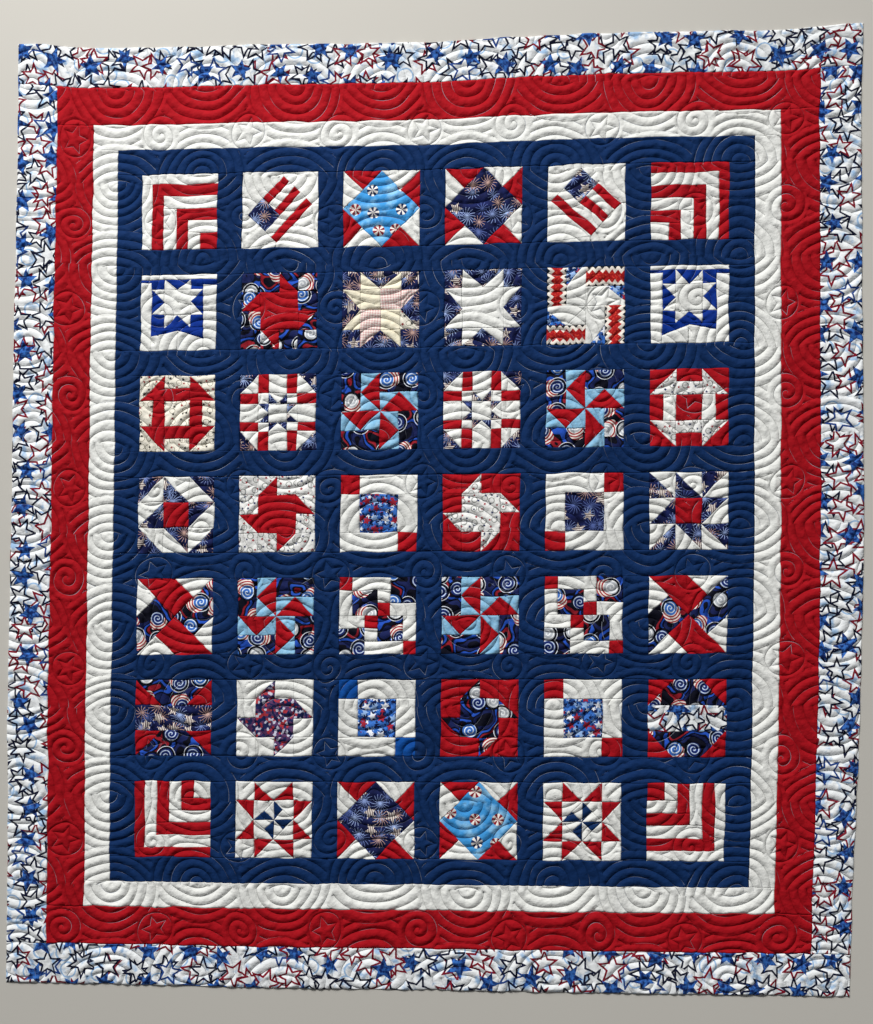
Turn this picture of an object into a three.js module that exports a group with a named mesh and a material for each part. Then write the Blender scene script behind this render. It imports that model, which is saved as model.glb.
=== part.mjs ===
// Star sampler quilt, pieced, quilted and lying flat with its face up.
//
// Seven rows of six pieced blocks are parted by sashing strips. A white, a red and a
// star-printed border run round them, the side strips first and then the end strips over
// their ends. Each row or strip is one solid with a flat underside. Its face dips at the
// seams and swells between fans of quilting. The quilt leans a little and its edges waver,
// as a quilt does where it was thrown down and smoothed by hand.
//
// Millimetres, +Z up, +Y towards the top edge. The origin is on the floor under the middle.

import * as THREE from 'three';

const INCH = 25.4;

// Finished sizes, seam to seam
const BLOCK = 6 * INCH;
const SASHING = 2 * INCH;
const WHITE_BORDER = 2 * INCH;
const RED_BORDER = 3 * INCH;
const STAR_BORDER = 3.25 * INCH;
const COLUMNS = 6;
const ROWS = 7;
const SEAM_GAP = 0.3;

// Heights of the face above the floor
const EDGE_HEIGHT = 2.6;
const SEAM_HEIGHT = 3.6;
const PLAIN_HEIGHT = 4.6;
const PUFF_HEIGHT = 7.2;

// Quilting: rows of half-round fans, one row standing on each line and one hanging under the next
const FAN_REPEAT = 14 * INCH;
const FAN_ROW = 7 * INCH;
const FAN_RADIUS = 4 * INCH;

// Longest step between points of a face
const FACE_STEP = 34;

// Cloth colours. Patchwork is the middle tone of the pieced blocks.
const NAVY = '#17305f';
const PATCHWORK = '#8f8798';
const WHITE = '#dfe0db';
const RED = '#a3171f';
const STAR_PRINT = '#b4b8c6';

// How the quilt lies: sideways lean for each millimetre up, and how far each edge has drifted.
// Along runs from one end of an edge to the other. Left and right drift towards +X, top and
// bottom towards +Y, all in millimetres.
const LEAN = 0.0166;
const EDGE_DRIFT = [
  { along: -1.0, left: 3, right: -20, bottom: 13, top: 12 },
  { along: -0.8, left: 2, right: -16, bottom: 12, top: -2 },
  { along: -0.6, left: 1, right: -8, bottom: 10, top: -4 },
  { along: -0.4, left: -3, right: -2, bottom: 7, top: -3 },
  { along: -0.2, left: -1, right: 2, bottom: 6, top: -6 },
  { along: 0.0, left: 0, right: 4, bottom: 6, top: -7 },
  { along: 0.2, left: 0, right: 2, bottom: 4, top: -1 },
  { along: 0.4, left: 0, right: -1, bottom: 3, top: 2 },
  { along: 0.6, left: 2, right: -2, bottom: 2, top: 1 },
  { along: 0.8, left: 3, right: -5, bottom: 2, top: -1 },
  { along: 1.0, left: 1, right: -1, bottom: 0, top: 9 },
];
// A side's drift fades faster towards the middle than an end's
const SIDE_FADE = 4;
const END_FADE = 2;

// Sizes that follow
const FIELD_WIDTH = COLUMNS * BLOCK + (COLUMNS + 1) * SASHING;
const FIELD_LENGTH = ROWS * BLOCK + (ROWS + 1) * SASHING;
const BORDERS = WHITE_BORDER + RED_BORDER + STAR_BORDER;
const HALF_WIDTH = FIELD_WIDTH / 2 + BORDERS;
const HALF_LENGTH = FIELD_LENGTH / 2 + BORDERS;

// Every piece is matt cotton
function cotton(color) {
  return new THREE.MeshStandardMaterial({ color, roughness: 0.92, metalness: 0 });
}

// Sideways or endways drift of one edge at a point along it, eased between the table's rows
function drift(edge, along) {
  const last = EDGE_DRIFT.length - 1;
  const place = THREE.MathUtils.clamp((along + 1) / 2, 0, 1) * last;
  const low = Math.min(Math.floor(place), last - 1);
  const ease = THREE.MathUtils.smoothstep(place - low, 0, 1);
  return THREE.MathUtils.lerp(EDGE_DRIFT[low][edge], EDGE_DRIFT[low + 1][edge], ease);
}

// Where a point (u, v) of the squared-up quilt lies on the floor
function layOut(u, v) {
  const across = u / HALF_WIDTH;
  const up = v / HALF_LENGTH;
  const sideDrift = drift(across < 0 ? 'left' : 'right', up) * across ** SIDE_FADE;
  const endDrift = drift(up < 0 ? 'bottom' : 'top', across) * up ** END_FADE;
  return [u + LEAN * v + sideDrift, v + endDrift];
}

// Swell of one half-round fan, 1 at its middle and 0 from its rim outwards
function fanSwell(du, dv) {
  if (dv < 0) {
    return 0;
  }
  return Math.max(0, 1 - (du * du + dv * dv) / FAN_RADIUS ** 2);
}

// Height of the quilted face away from seams
function puffHeight(u, v) {
  const du = THREE.MathUtils.euclideanModulo(u + FAN_REPEAT / 2, FAN_REPEAT) - FAN_REPEAT / 2;
  const shifted = THREE.MathUtils.euclideanModulo(u, FAN_REPEAT) - FAN_REPEAT / 2;
  const dv = THREE.MathUtils.euclideanModulo(v, FAN_ROW);
  const swell = Math.max(fanSwell(du, dv), fanSwell(shifted, FAN_ROW - dv));
  return THREE.MathUtils.lerp(PLAIN_HEIGHT, PUFF_HEIGHT, swell);
}

// Even stations from one seam to another, no further apart than the face step
function stations(from, to) {
  const count = Math.max(2, Math.ceil(Math.abs(to - from) / FACE_STEP));
  return Array.from({ length: count + 1 }, (_, k) => from + ((to - from) * k) / count);
}

// Stations over several spans in a row, with the seams between them counted once
function stationsOver(seams) {
  return seams.slice(1).flatMap((seam, k) => stations(seams[k], seam).slice(k === 0 ? 0 : 1));
}

// Closed solid of one strip. Its long way is along, its short way across. An upright strip
// runs up the quilt and takes its across stations from right to left.
function stripGeometry(along, across, upright, seams) {
  const long = along.length - 1;
  const short = across.length - 1;
  const points = [];
  const faces = [];
  const square = (i, j) => (upright ? [across[j], along[i]] : [along[i], across[j]]);
  const quad = (a, b, c, d) => faces.push(a, b, c, a, c, d);

  const heightAt = (i, j) => {
    const [u, v] = square(i, j);
    if (Math.max(Math.abs(u) - HALF_WIDTH, Math.abs(v) - HALF_LENGTH) > -SEAM_GAP) {
      return EDGE_HEIGHT;
    }
    const onRim = i === 0 || i === long || j === 0 || j === short;
    return onRim || seams.includes(along[i]) ? SEAM_HEIGHT : puffHeight(u, v);
  };

  // Face
  const face = (i, j) => i * (short + 1) + j;
  for (let i = 0; i <= long; i += 1) {
    for (let j = 0; j <= short; j += 1) {
      points.push(...layOut(...square(i, j)), heightAt(i, j));
    }
  }
  for (let i = 0; i < long; i += 1) {
    for (let j = 0; j < short; j += 1) {
      quad(face(i, j), face(i + 1, j), face(i + 1, j + 1), face(i, j + 1));
    }
  }

  // Rim, anticlockwise, and its foot on the floor
  const rim = [];
  for (let i = 0; i < long; i += 1) {
    rim.push([i, 0]);
  }
  for (let j = 0; j < short; j += 1) {
    rim.push([long, j]);
  }
  for (let i = long; i > 0; i -= 1) {
    rim.push([i, short]);
  }
  for (let j = short; j > 0; j -= 1) {
    rim.push([0, j]);
  }
  const firstFoot = points.length / 3;
  const footOf = new Map();
  rim.forEach(([i, j], k) => {
    footOf.set(face(i, j), firstFoot + k);
    points.push(...layOut(...square(i, j)), 0);
  });
  const foot = (i, j) => footOf.get(face(i, j));
  rim.forEach(([i, j], k) => {
    const [nextI, nextJ] = rim[(k + 1) % rim.length];
    quad(face(i, j), foot(i, j), foot(nextI, nextJ), face(nextI, nextJ));
  });

  // Underside: a ladder between the long edges, and a fan at each end
  for (let i = 1; i < long - 1; i += 1) {
    quad(foot(i, 0), foot(i, short), foot(i + 1, short), foot(i + 1, 0));
  }
  for (let j = 0; j < short; j += 1) {
    faces.push(foot(1, 0), foot(0, j), foot(0, j + 1));
    faces.push(foot(long - 1, 0), foot(long, j + 1), foot(long, j));
  }
  faces.push(foot(1, 0), foot(0, short), foot(1, short));
  faces.push(foot(long - 1, 0), foot(long - 1, short), foot(long, short));

  const geometry = new THREE.BufferGeometry();
  geometry.setAttribute('position', new THREE.Float32BufferAttribute(points, 3));
  geometry.setIndex(faces);
  geometry.computeVertexNormals();
  return geometry;
}

const quilt = new THREE.Group();
const HALF_GAP = SEAM_GAP / 2;

// Adds a strip that runs across the quilt. Seams are its upright seam lines, ends included.
function addLevelStrip(name, material, seams, low, high) {
  const inset = [seams[0] + HALF_GAP, ...seams.slice(1, -1), seams[seams.length - 1] - HALF_GAP];
  const across = stations(low + HALF_GAP, high - HALF_GAP);
  const mesh = new THREE.Mesh(stripGeometry(stationsOver(inset), across, false, inset), material);
  mesh.name = name;
  quilt.add(mesh);
}

// Adds a strip that runs up the quilt
function addUprightStrip(name, material, left, right, low, high) {
  const along = stations(low + HALF_GAP, high - HALF_GAP);
  const across = stations(right - HALF_GAP, left + HALF_GAP);
  const mesh = new THREE.Mesh(stripGeometry(along, across, true, []), material);
  mesh.name = name;
  quilt.add(mesh);
}

// Sashing strips and rows of blocks, from the top edge down
const PITCH = BLOCK + SASHING;
const fieldTop = FIELD_LENGTH / 2;
const fieldRight = FIELD_WIDTH / 2;
const blockSeams = Array.from({ length: COLUMNS }, (_, column) => {
  const left = -fieldRight + SASHING + column * PITCH;
  return [left, left + BLOCK];
}).flat();
const rowSeams = [-fieldRight, ...blockSeams, fieldRight];
for (let row = 0; row <= ROWS; row += 1) {
  const stripTop = fieldTop - row * PITCH;
  const blockTop = stripTop - SASHING;
  addLevelStrip(`sashing_${row + 1}`, cotton(NAVY), [-fieldRight, fieldRight], blockTop, stripTop);
  if (row < ROWS) {
    addLevelStrip(`block_row_${row + 1}`, cotton(PATCHWORK), rowSeams, blockTop - BLOCK, blockTop);
  }
}

// Borders, from the field outwards
const RINGS = [
  { name: 'white_border', width: WHITE_BORDER, color: WHITE },
  { name: 'red_border', width: RED_BORDER, color: RED },
  { name: 'star_border', width: STAR_BORDER, color: STAR_PRINT },
];
let right = fieldRight;
let top = fieldTop;
for (const { name, width, color } of RINGS) {
  addUprightStrip(`${name}_left`, cotton(color), -right - width, -right, -top, top);
  addUprightStrip(`${name}_right`, cotton(color), right, right + width, -top, top);
  right += width;
  addLevelStrip(`${name}_top`, cotton(color), [-right, right], top, top + width);
  addLevelStrip(`${name}_bottom`, cotton(color), [-right, right], -top - width, -top);
  top += width;
}

// The middle of the quilt's box stands over the origin
const middle = new THREE.Box3().setFromObject(quilt).getCenter(new THREE.Vector3());
quilt.position.set(-middle.x, -middle.y, 0);

export default quilt;
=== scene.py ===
"""A pieced cotton sampler quilt lying flat: its patchwork, borders, quilting and studio."""
import logging
import math
from abc import ABC, abstractmethod
from collections.abc import Mapping, Sequence
from dataclasses import dataclass, replace
from enum import Enum
from typing import Any

import bpy
import numpy as np
from mathutils import Matrix, Vector


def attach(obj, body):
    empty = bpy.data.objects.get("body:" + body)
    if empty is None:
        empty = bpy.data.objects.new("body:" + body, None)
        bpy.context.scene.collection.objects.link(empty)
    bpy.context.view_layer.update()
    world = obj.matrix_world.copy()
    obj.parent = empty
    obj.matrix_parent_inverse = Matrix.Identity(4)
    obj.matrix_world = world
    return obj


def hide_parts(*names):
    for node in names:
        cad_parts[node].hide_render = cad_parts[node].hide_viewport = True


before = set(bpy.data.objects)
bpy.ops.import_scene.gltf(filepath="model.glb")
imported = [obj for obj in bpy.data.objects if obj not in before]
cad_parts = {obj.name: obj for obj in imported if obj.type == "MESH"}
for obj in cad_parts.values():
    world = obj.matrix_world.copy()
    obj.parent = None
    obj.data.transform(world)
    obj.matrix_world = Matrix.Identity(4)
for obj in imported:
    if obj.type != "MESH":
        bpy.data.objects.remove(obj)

LOG = logging.getLogger("quilt")
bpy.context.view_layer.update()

# Finished sizes from seam to seam, in millimetres
INCH = 25.4
BLOCK = 6 * INCH
SASHING = 2 * INCH
COLUMNS = 6
ROWS = 7
FIELD_WIDTH = COLUMNS * BLOCK + (COLUMNS + 1) * SASHING
FIELD_LENGTH = ROWS * BLOCK + (ROWS + 1) * SASHING
# Millimetres in a metre
METRE = 1000.0

# Step between points of a face, counted from the quilt's middle so that neighbours' points meet
FACE_STEP = 3.05
# Distances of the first points in from the turned edge
HEM_STEPS = np.array((0.0, 0.5, 1.2, 2.4, 4.2, 6.6, 9.2))
# Least gap between a point at a whole step and an end of its edge
SPARE_STEP = 0.35 * FACE_STEP
# Points along a triangle's longest side, as a share of those that the step would give
TRIANGLE_SHARE = 0.78
# Shortest and longest wave of an uneven field, as shares of its middle wavelength
WAVE_SPREAD = (0.7, 1.5)
# Slant of a printed star's edges, and its least size and what chance adds, as shares of its reach
STAR_SLANT = math.radians(69)
STAR_SIZES = (0.85, 0.25)
# Shift of a scatter for each whole seed, in cells
SEED_SHIFT = (3.71, 5.33)

Point = tuple[float, float]
Feed = Any

MATH = "ShaderNodeMath"
VECTOR = "ShaderNodeVectorMath"
MIX = "ShaderNodeMix"
NOISE = "ShaderNodeTexNoise"
VORONOI = "ShaderNodeTexVoronoi"
ATTRIBUTE = "ShaderNodeAttribute"
PARTS = "ShaderNodeSeparateXYZ"
CHANCES = "ShaderNodeSeparateColor"


class Fabric(Enum):
    """The cottons of the quilt, each with the letter that the block charts use."""

    RED = "R"
    WHITE = "W"
    NAVY = "N"
    ROYAL = "Y"
    MID_BLUE = "M"
    PALE_BLUE = "L"
    CREAM = "E"
    STARS = "A"
    BURSTS = "F"
    SWIRLS = "S"
    PACKED_STARS = "P"
    RINGS = "G"
    SPRIGS = "C"
    GINGHAM = "Q"
    ZIGZAG = "Z"
    SPECKS = "T"
    ROSETTES = "K"
    BACKING = "B"


class Side(Enum):
    """The four sides that a border runs along."""

    LEFT = "left"
    RIGHT = "right"
    TOP = "top"
    BOTTOM = "bottom"


class Band(Enum):
    """The borders from the inside out: name, finished width, name of the cloth and fabric."""

    WHITE = ("white", 2 * INCH, "white_cotton", Fabric.WHITE)
    RED = ("red", 3 * INCH, "red_cotton", Fabric.RED)
    STAR = ("star", 3.25 * INCH, "star_print_cotton", Fabric.STARS)

    def __init__(self, title: str, width: float, cloth: str, fabric: Fabric) -> None:
        """Keep the values under names.

        Args:
            title: Name of the border.
            width: Width from seam to seam, in millimetres.
            cloth: Name of the cloth that it counts as.
            fabric: Cotton that it is cut from.
        """
        self.title = title
        self.width = width
        self.cloth = cloth
        self.fabric = fabric


# Finished quilt from its middle to the turned edge
HALF_WIDTH = FIELD_WIDTH / 2 + sum(band.width for band in Band)
HALF_LENGTH = FIELD_LENGTH / 2 + sum(band.width for band in Band)


def linear(code: str) -> tuple[float, float, float, float]:
    """Turn an sRGB hex colour into linear values.

    Args:
        code: Colour such as "#a3171f".

    Returns:
        Linear red, green, blue and an alpha of 1.
    """
    shares = (int(code[k:k + 2], 16) / 255 for k in (1, 3, 5))
    red, green, blue = (s / 12.92 if s <= 0.04045 else ((s + 0.055) / 1.055) ** 2.4 for s in shares)
    return red, green, blue, 1.0


def sway(u: np.ndarray, v: np.ndarray, reach: float, seed: int, count: int = 6) -> np.ndarray:
    """Smooth uneven field: a sum of sine waves with seeded headings, lengths and phases.

    Args:
        u: Places across, in millimetres.
        v: Places along, in millimetres.
        reach: Middle wavelength, in millimetres.
        seed: Seed of this field.
        count: Number of waves.

    Returns:
        Values about zero, mostly within 1 of it.
    """
    chance = np.random.default_rng(seed)
    shortest, longest = WAVE_SPREAD
    total = np.zeros_like(u)
    for _ in range(count):
        heading, stretch, phase = chance.uniform((0, shortest, 0), (2 * np.pi, longest, 2 * np.pi))
        run = u * np.cos(heading) + v * np.sin(heading)
        total += np.sin(2 * np.pi * run / (reach * stretch) + phase)
    return total / math.sqrt(count)


def fold(value: np.ndarray, half: float) -> np.ndarray:
    """Distance of a value from the nearest whole multiple of twice the half."""
    return np.abs((value + half) % (2 * half) - half)


@dataclass(frozen=True)
class Patch:
    """One cut piece of cotton.

    The corners go round the piece. A blind edge is a cut inside one cloth, with no seam.
    """

    corners: tuple[Point, ...]
    fabric: Fabric
    blind: tuple[int, ...] = ()
    turn: float = 0.0


def polygon(letter: str, *corners: Point, turn: float = 0.0) -> list[Patch]:
    """Cut a convex piece as a fan of four- and three-sided parts from its first corner.

    Args:
        letter: Letter of the fabric.
        corners: Corners in order.
        turn: Turn of the print, in degrees.

    Returns:
        The parts, with their inner edges blind.
    """
    parts = []
    last = len(corners) - 1
    start = 1
    while start < last:
        end = min(start + 2, last)
        part = (corners[0],) + corners[start:end + 1]
        inner = [0] if start > 1 else []
        inner += [len(part) - 1] if end < last else []
        parts.append(Patch(part, Fabric(letter), tuple(inner), turn))
        start = end
    return parts


def rect(letter: str, x0: float, y0: float, x1: float, y1: float, turn: float = 0.0) -> list[Patch]:
    """Cut an upright rectangle between two corners."""
    return polygon(letter, (x0, y0), (x1, y0), (x1, y1), (x0, y1), turn=turn)


def goose(start: Point, end: Point, tip: Point, large: str, small: str) -> list[Patch]:
    """Cut a flying goose: a large triangle and the two small ones that square it up.

    Args:
        start: One end of the large triangle's base.
        end: The base's other end.
        tip: Point opposite the base's middle.
        large: Letter of the large triangle's fabric.
        small: Letter or two letters of the small triangles' fabrics.

    Returns:
        The three triangles.
    """
    rise = (tip[0] - (start[0] + end[0]) / 2, tip[1] - (start[1] + end[1]) / 2)
    near = (start[0] + rise[0], start[1] + rise[1])
    far = (end[0] + rise[0], end[1] + rise[1])
    return (
        polygon(large, start, end, tip)
        + polygon(small[0], start, tip, near)
        + polygon(small[-1], end, far, tip)
    )


def chart(rows: Sequence[str], across: Sequence[float], down: Sequence[float]) -> list[Patch]:
    """Cut a block from a chart with one mark for each cell.

    A letter is a plain cell and a dot an empty one. A/B is cut from lower left to upper right
    with A above, and A\\B from upper left to lower right with A above.

    Args:
        rows: Rows of marks, parted by spaces.
        across: Places of the upright cuts.
        down: Places of the level cuts.

    Returns:
        The patches of all cells.
    """
    patches = []
    for row, (y0, y1) in zip(rows, zip(down, down[1:])):
        for mark, (x0, x1) in zip(row.split(), zip(across, across[1:])):
            if mark == ".":
                continue
            if len(mark) == 1:
                patches += rect(mark, x0, y0, x1, y1)
                continue
            upper, lower = mark[0], mark[2]
            if mark[1] == "/":
                patches += polygon(upper, (x0, y0), (x1, y0), (x0, y1))
                patches += polygon(lower, (x1, y0), (x1, y1), (x0, y1))
            else:
                patches += polygon(upper, (x0, y0), (x1, y0), (x1, y1))
                patches += polygon(lower, (x0, y0), (x1, y1), (x0, y1))
    return patches


def quarter_turned(patches: Sequence[Patch], times: int) -> list[Patch]:
    """Turn the patches of a block clockwise by quarter turns about its middle.

    Args:
        patches: Patches in parts of a block.
        times: Number of quarter turns.

    Returns:
        The turned patches.
    """
    turned = list(patches)
    for _ in range(times):
        turned = [
            replace(p, corners=tuple((1 - y, x) for x, y in p.corners), turn=p.turn - 90)
            for p in turned
        ]
    return turned


def flipped(patches: Sequence[Patch], sideways: bool, upright: bool) -> list[Patch]:
    """Mirror the patches of a block left to right, top to bottom or both.

    Args:
        patches: Patches in parts of a block.
        sideways: Whether left and right change places.
        upright: Whether top and bottom change places.

    Returns:
        The mirrored patches.
    """
    mirrored = []
    for patch in patches:
        corners = tuple((1 - x if sideways else x, 1 - y if upright else y) for x, y in patch.corners)
        mirrored.append(replace(patch, corners=corners))
    return mirrored


@dataclass(frozen=True)
class Sampler:
    """The pieced blocks, cut in parts of a block with x to the right and y down."""

    bar_cuts: tuple[float, ...] = (0.0, 0.13, 0.29, 0.455, 0.615, 0.775, 1.0)
    quarters: tuple[float, ...] = (0.0, 0.25, 0.5, 0.75, 1.0)
    thirds: tuple[float, ...] = (0.0, 1 / 3, 2 / 3, 1.0)
    flag_stripes: str = "RWRWR"
    short_stripes: int = 3
    stripe: float = 0.2
    canton: tuple[float, float] = (0.42, 0.6)

    def corner_bars(self, outer: str, inner: str, to_left: bool, to_top: bool) -> list[Patch]:
        """Nested right-angled bars round one corner, in two fabrics by turns.

        Args:
            outer: Letter of the outermost bar.
            inner: Letter of the bar inside it.
            to_left: Whether the innermost square lies at the left.
            to_top: Whether it lies at the top.

        Returns:
            The patches of the block.
        """
        patches = []
        cuts = self.bar_cuts
        for k, (near, far) in enumerate(zip(cuts[:-2], cuts[1:-1])):
            letter = (outer, inner)[k % 2]
            patches += rect(letter, near, near, 1, far)
            patches += rect(letter, near, far, far, 1)
        patches += rect(inner, cuts[-2], cuts[-2], 1, 1)
        return flipped(patches, to_left, to_top)

    def flag(self, hoist: Point, fly: Point, foot: Point) -> list[Patch]:
        """A small striped flag set askew on white.

        Args:
            hoist: Outer corner of the flag's printed canton.
            fly: The corner along the stripes from it.
            foot: The corner across the stripes from it.

        Returns:
            The flag's strips and the four white corners round it.
        """
        along = np.subtract(fly, hoist)
        across = np.subtract(foot, hoist)

        def at(a: float, b: float) -> Point:
            """Place at shares along and across the flag."""
            x, y = np.asarray(hoist) + a * along + b * across
            return float(x), float(y)

        wide, deep = self.canton
        spans = [("F", 0, wide, 0, deep)]
        for k, letter in enumerate(self.flag_stripes):
            beside = wide if k < self.short_stripes else 0
            spans.append((letter, beside, 1, k * self.stripe, (k + 1) * self.stripe))
        patches = []
        for letter, a0, a1, b0, b1 in spans:
            patches += polygon(letter, at(a0, b0), at(a1, b0), at(a1, b1), at(a0, b1))
        corners = (at(0, 0), at(1, 0), at(1, 1), at(0, 1))
        left, right = min(corners), max(corners)
        top, bottom = min(corners, key=lambda c: c[1]), max(corners, key=lambda c: c[1])
        patches += polygon("W", (0, 0), (top[0], 0), top, left, (0, left[1]))
        patches += polygon("W", (1, 0), (1, right[1]), right, top, (top[0], 0))
        patches += polygon("W", (1, 1), (bottom[0], 1), bottom, right, (1, right[1]))
        patches += polygon("W", (0, 1), (0, left[1]), left, bottom, (bottom[0], 1))
        return patches

    def diamond(self, centre: str) -> list[Patch]:
        """A diamond on its point, with each corner split between red and white.

        Args:
            centre: Letter of the diamond.

        Returns:
            The patches of the block.
        """
        patches = polygon(centre, (0.5, 0), (1, 0.5), (0.5, 1), (0, 0.5))
        corner = polygon("R", (0, 0), (0.5, 0), (0.25, 0.25))
        corner += polygon("W", (0, 0), (0.25, 0.25), (0, 0.5))
        return patches + [p for times in range(4) for p in quarter_turned(corner, times)]

    def star(
        self, across: Sequence[float], down: Sequence[float], ground: str, points: str, centre: str
    ) -> list[Patch]:
        """An eight-pointed star: four geese round a square, with a square in each corner.

        Args:
            across: Four upright cuts.
            down: Four level cuts.
            ground: Letter of the ground.
            points: Letters of the points, in order round the star.
            centre: Letters of the centre, one square or four, or none.

        Returns:
            The patches of the star and its ground.
        """
        x0, x1, x2, x3 = across
        y0, y1, y2, y3 = down
        mx, my = (x1 + x2) / 2, (y1 + y2) / 2
        patches = []
        for left, right in ((x0, x1), (x2, x3)):
            for top, bottom in ((y0, y1), (y2, y3)):
                patches += rect(ground, left, top, right, bottom)
        pairs = [points[k % len(points)] + points[(k + 1) % len(points)] for k in (0, 2, 4, 6)]
        patches += goose((x1, y0), (x2, y0), (mx, y1), ground, pairs[0])
        patches += goose((x3, y1), (x3, y2), (x2, my), ground, pairs[1])
        patches += goose((x2, y3), (x1, y3), (mx, y2), ground, pairs[2])
        patches += goose((x0, y2), (x0, y1), (x1, my), ground, pairs[3])
        if len(centre) == 1:
            patches += rect(centre, x1, y1, x2, y2)
        if len(centre) == 4:
            rows = (f"{centre[0]} {centre[1]}", f"{centre[2]} {centre[3]}")
            patches += chart(rows, (x1, mx, x2), (y1, my, y2))
        return patches

    def star_and_skirt(
        self, across: Sequence[float], down: Sequence[float], shoulder: Point, skirt: Sequence[float]
    ) -> list[Patch]:
        """A white star on royal blue in white strips, over a skirt with a peaked lower edge.

        Args:
            across: Four upright cuts of the star.
            down: Four level cuts of the star.
            shoulder: Tops of the left and right white strips.
            skirt: Lower edge of the blue at the left, the middle and the right.

        Returns:
            The patches of the block.
        """
        left, right = across[0], across[3]
        top, low = down[0], down[3]
        middle = (across[1] + across[2]) / 2
        patches = self.star(across, down, "Y", "W", "W")
        patches += rect("W", 0, 0, 1, top)
        patches += rect("Y", 0, top, left, shoulder[0]) + rect("Y", right, top, 1, shoulder[1])
        patches += rect("W", 0, shoulder[0], left, 1) + rect("W", right, shoulder[1], 1, 1)
        patches += polygon("Y", (left, low), (middle, low), (middle, skirt[1]), (left, skirt[0]))
        patches += polygon("Y", (middle, low), (right, low), (right, skirt[2]), (middle, skirt[1]))
        patches += polygon("W", (left, skirt[0]), (middle, skirt[1]), (middle, 1), (left, 1))
        patches += polygon("W", (middle, skirt[1]), (right, skirt[2]), (right, 1), (middle, 1))
        return patches

    def four_blades(self, blade: str, ground: str) -> list[Patch]:
        """A square with a blade swept off each side, like a toy windmill.

        Args:
            blade: Letter of the square and its blades.
            ground: Letter of the ground.

        Returns:
            The patches of the block.
        """
        rows = (
            f"{ground} {ground}/{blade} {ground} {ground}",
            f"{ground} . . {ground}\\{blade}",
            f"{blade}\\{ground} . . {ground}",
            f"{ground} {ground} {blade}/{ground} {ground}",
        )
        return chart(rows, self.quarters, self.quarters) + rect(blade, 0.25, 0.25, 0.75, 0.75)

    def spinning_strips(self) -> list[Patch]:
        """Four zigzag strips turning round a white eight-sided middle.

        Returns:
            The patches of the block.
        """
        quarter = rect("Z", 0, 0, 0.25, 0.5, turn=90)
        quarter += polygon("P", (0.25, 0), (0.44, 0), (0.25, 0.25))
        quarter += polygon("W", (0.25, 0.25), (0.44, 0), (0.5, 0), (0.5, 0.5), (0.25, 0.5))
        return [p for times in range(4) for p in quarter_turned(quarter, times)]

    def churn(self, ground: str, dash: str, side_dash: str) -> list[Patch]:
        """A churn dash: split corners, and a bar of two strips on each side of a square.

        Args:
            ground: Letter of the middle, the outer strips and the outer corners.
            dash: Letter of the inner corners and of the strips above and below.
            side_dash: Letter of the strips at the sides.

        Returns:
            The patches of the block.
        """
        rows = (
            f"{ground}/{dash} . {ground}\\{dash}",
            f". {ground} .",
            f"{dash}\\{ground} . {dash}/{ground}",
        )
        patches = chart(rows, self.thirds, self.thirds)
        for times in range(4):
            inner = side_dash if times % 2 else dash
            bar = rect(ground, 1 / 3, 0, 2 / 3, 1 / 6) + rect(inner, 1 / 3, 1 / 6, 2 / 3, 1 / 3)
            patches += quarter_turned(bar, times)
        return patches

    def ringed_star(self) -> list[Patch]:
        """A small burst-print star in a white eight-sided field with red rails and printed corners.

        Returns:
            The patches of the block.
        """
        across = (0, 0.24, 0.375, 0.62, 0.75, 1)
        down = (0, 0.25, 0.385, 0.63, 0.745, 1)
        rows = (
            "F/W R W R F\\W",
            "R . . . R",
            "W . . . W",
            "R . . . R",
            "W\\F R W R W/F",
        )
        return chart(rows, across, down) + self.star(across[1:5], down[1:5], "W", "F", "W")

    def whirl(self) -> list[Patch]:
        """Four geese chasing round the middle, each beside a strip of swirl print.

        Returns:
            The patches of the block.
        """
        quarter = rect("S", 0, 0, 0.25, 0.5) + goose((0.5, 0), (0.5, 0.5), (0.25, 0.25), "R", "L")
        return [p for times in range(4) for p in quarter_turned(quarter, times)]

    def twist(self) -> list[Patch]:
        """Four kites twisting round the middle, red and swirl print by turns.

        Returns:
            The patches of the block.
        """
        patches = []
        for times in range(4):
            letter = "S" if times % 2 else "R"
            kite = polygon(letter, (0, 0), (0.5, 0), (0.75, 0.25), (0.5, 0.5))
            kite += polygon("W", (0.5, 0), (1, 0), (0.75, 0.25))
            patches += quarter_turned(kite, times)
        return patches

    def framed(self, square: str, centre: str, rising: bool) -> list[Patch]:
        """A printed square in a white frame with two coloured corners.

        Args:
            square: Letter of the corners.
            centre: Letter of the square.
            rising: Whether the corners lie at the lower left and the upper right.

        Returns:
            The patches of the block.
        """
        patches = rect(square, 0, 0, 0.25, 0.25) + rect(square, 0.75, 0.75, 1, 1)
        patches += rect("W", 0.25, 0, 1, 0.25) + rect("W", 0, 0.75, 0.75, 1)
        patches += rect("W", 0, 0.25, 0.25, 0.75) + rect("W", 0.75, 0.25, 1, 0.75)
        return flipped(patches + rect(centre, 0.25, 0.25, 0.75, 0.75), rising, False)

    def stepping_squares(self) -> list[Patch]:
        """Printed squares stepping across white, with small red squares between them.

        Returns:
            The patches of the block.
        """
        half = rect("R", 0, 0, 1, 1) + rect("W", 1, 0, 4, 1) + rect("S", 4, 0, 6, 2)
        half += rect("W", 0, 1, 1, 3) + rect("S", 1, 1, 3, 3) + rect("W", 3, 1, 4, 2)
        half += rect("R", 3, 2, 4, 3) + rect("W", 4, 2, 6, 3)
        sixths = [replace(p, corners=tuple((x / 6, y / 6) for x, y in p.corners)) for p in half]
        return sixths + quarter_turned(sixths, 2)

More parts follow.
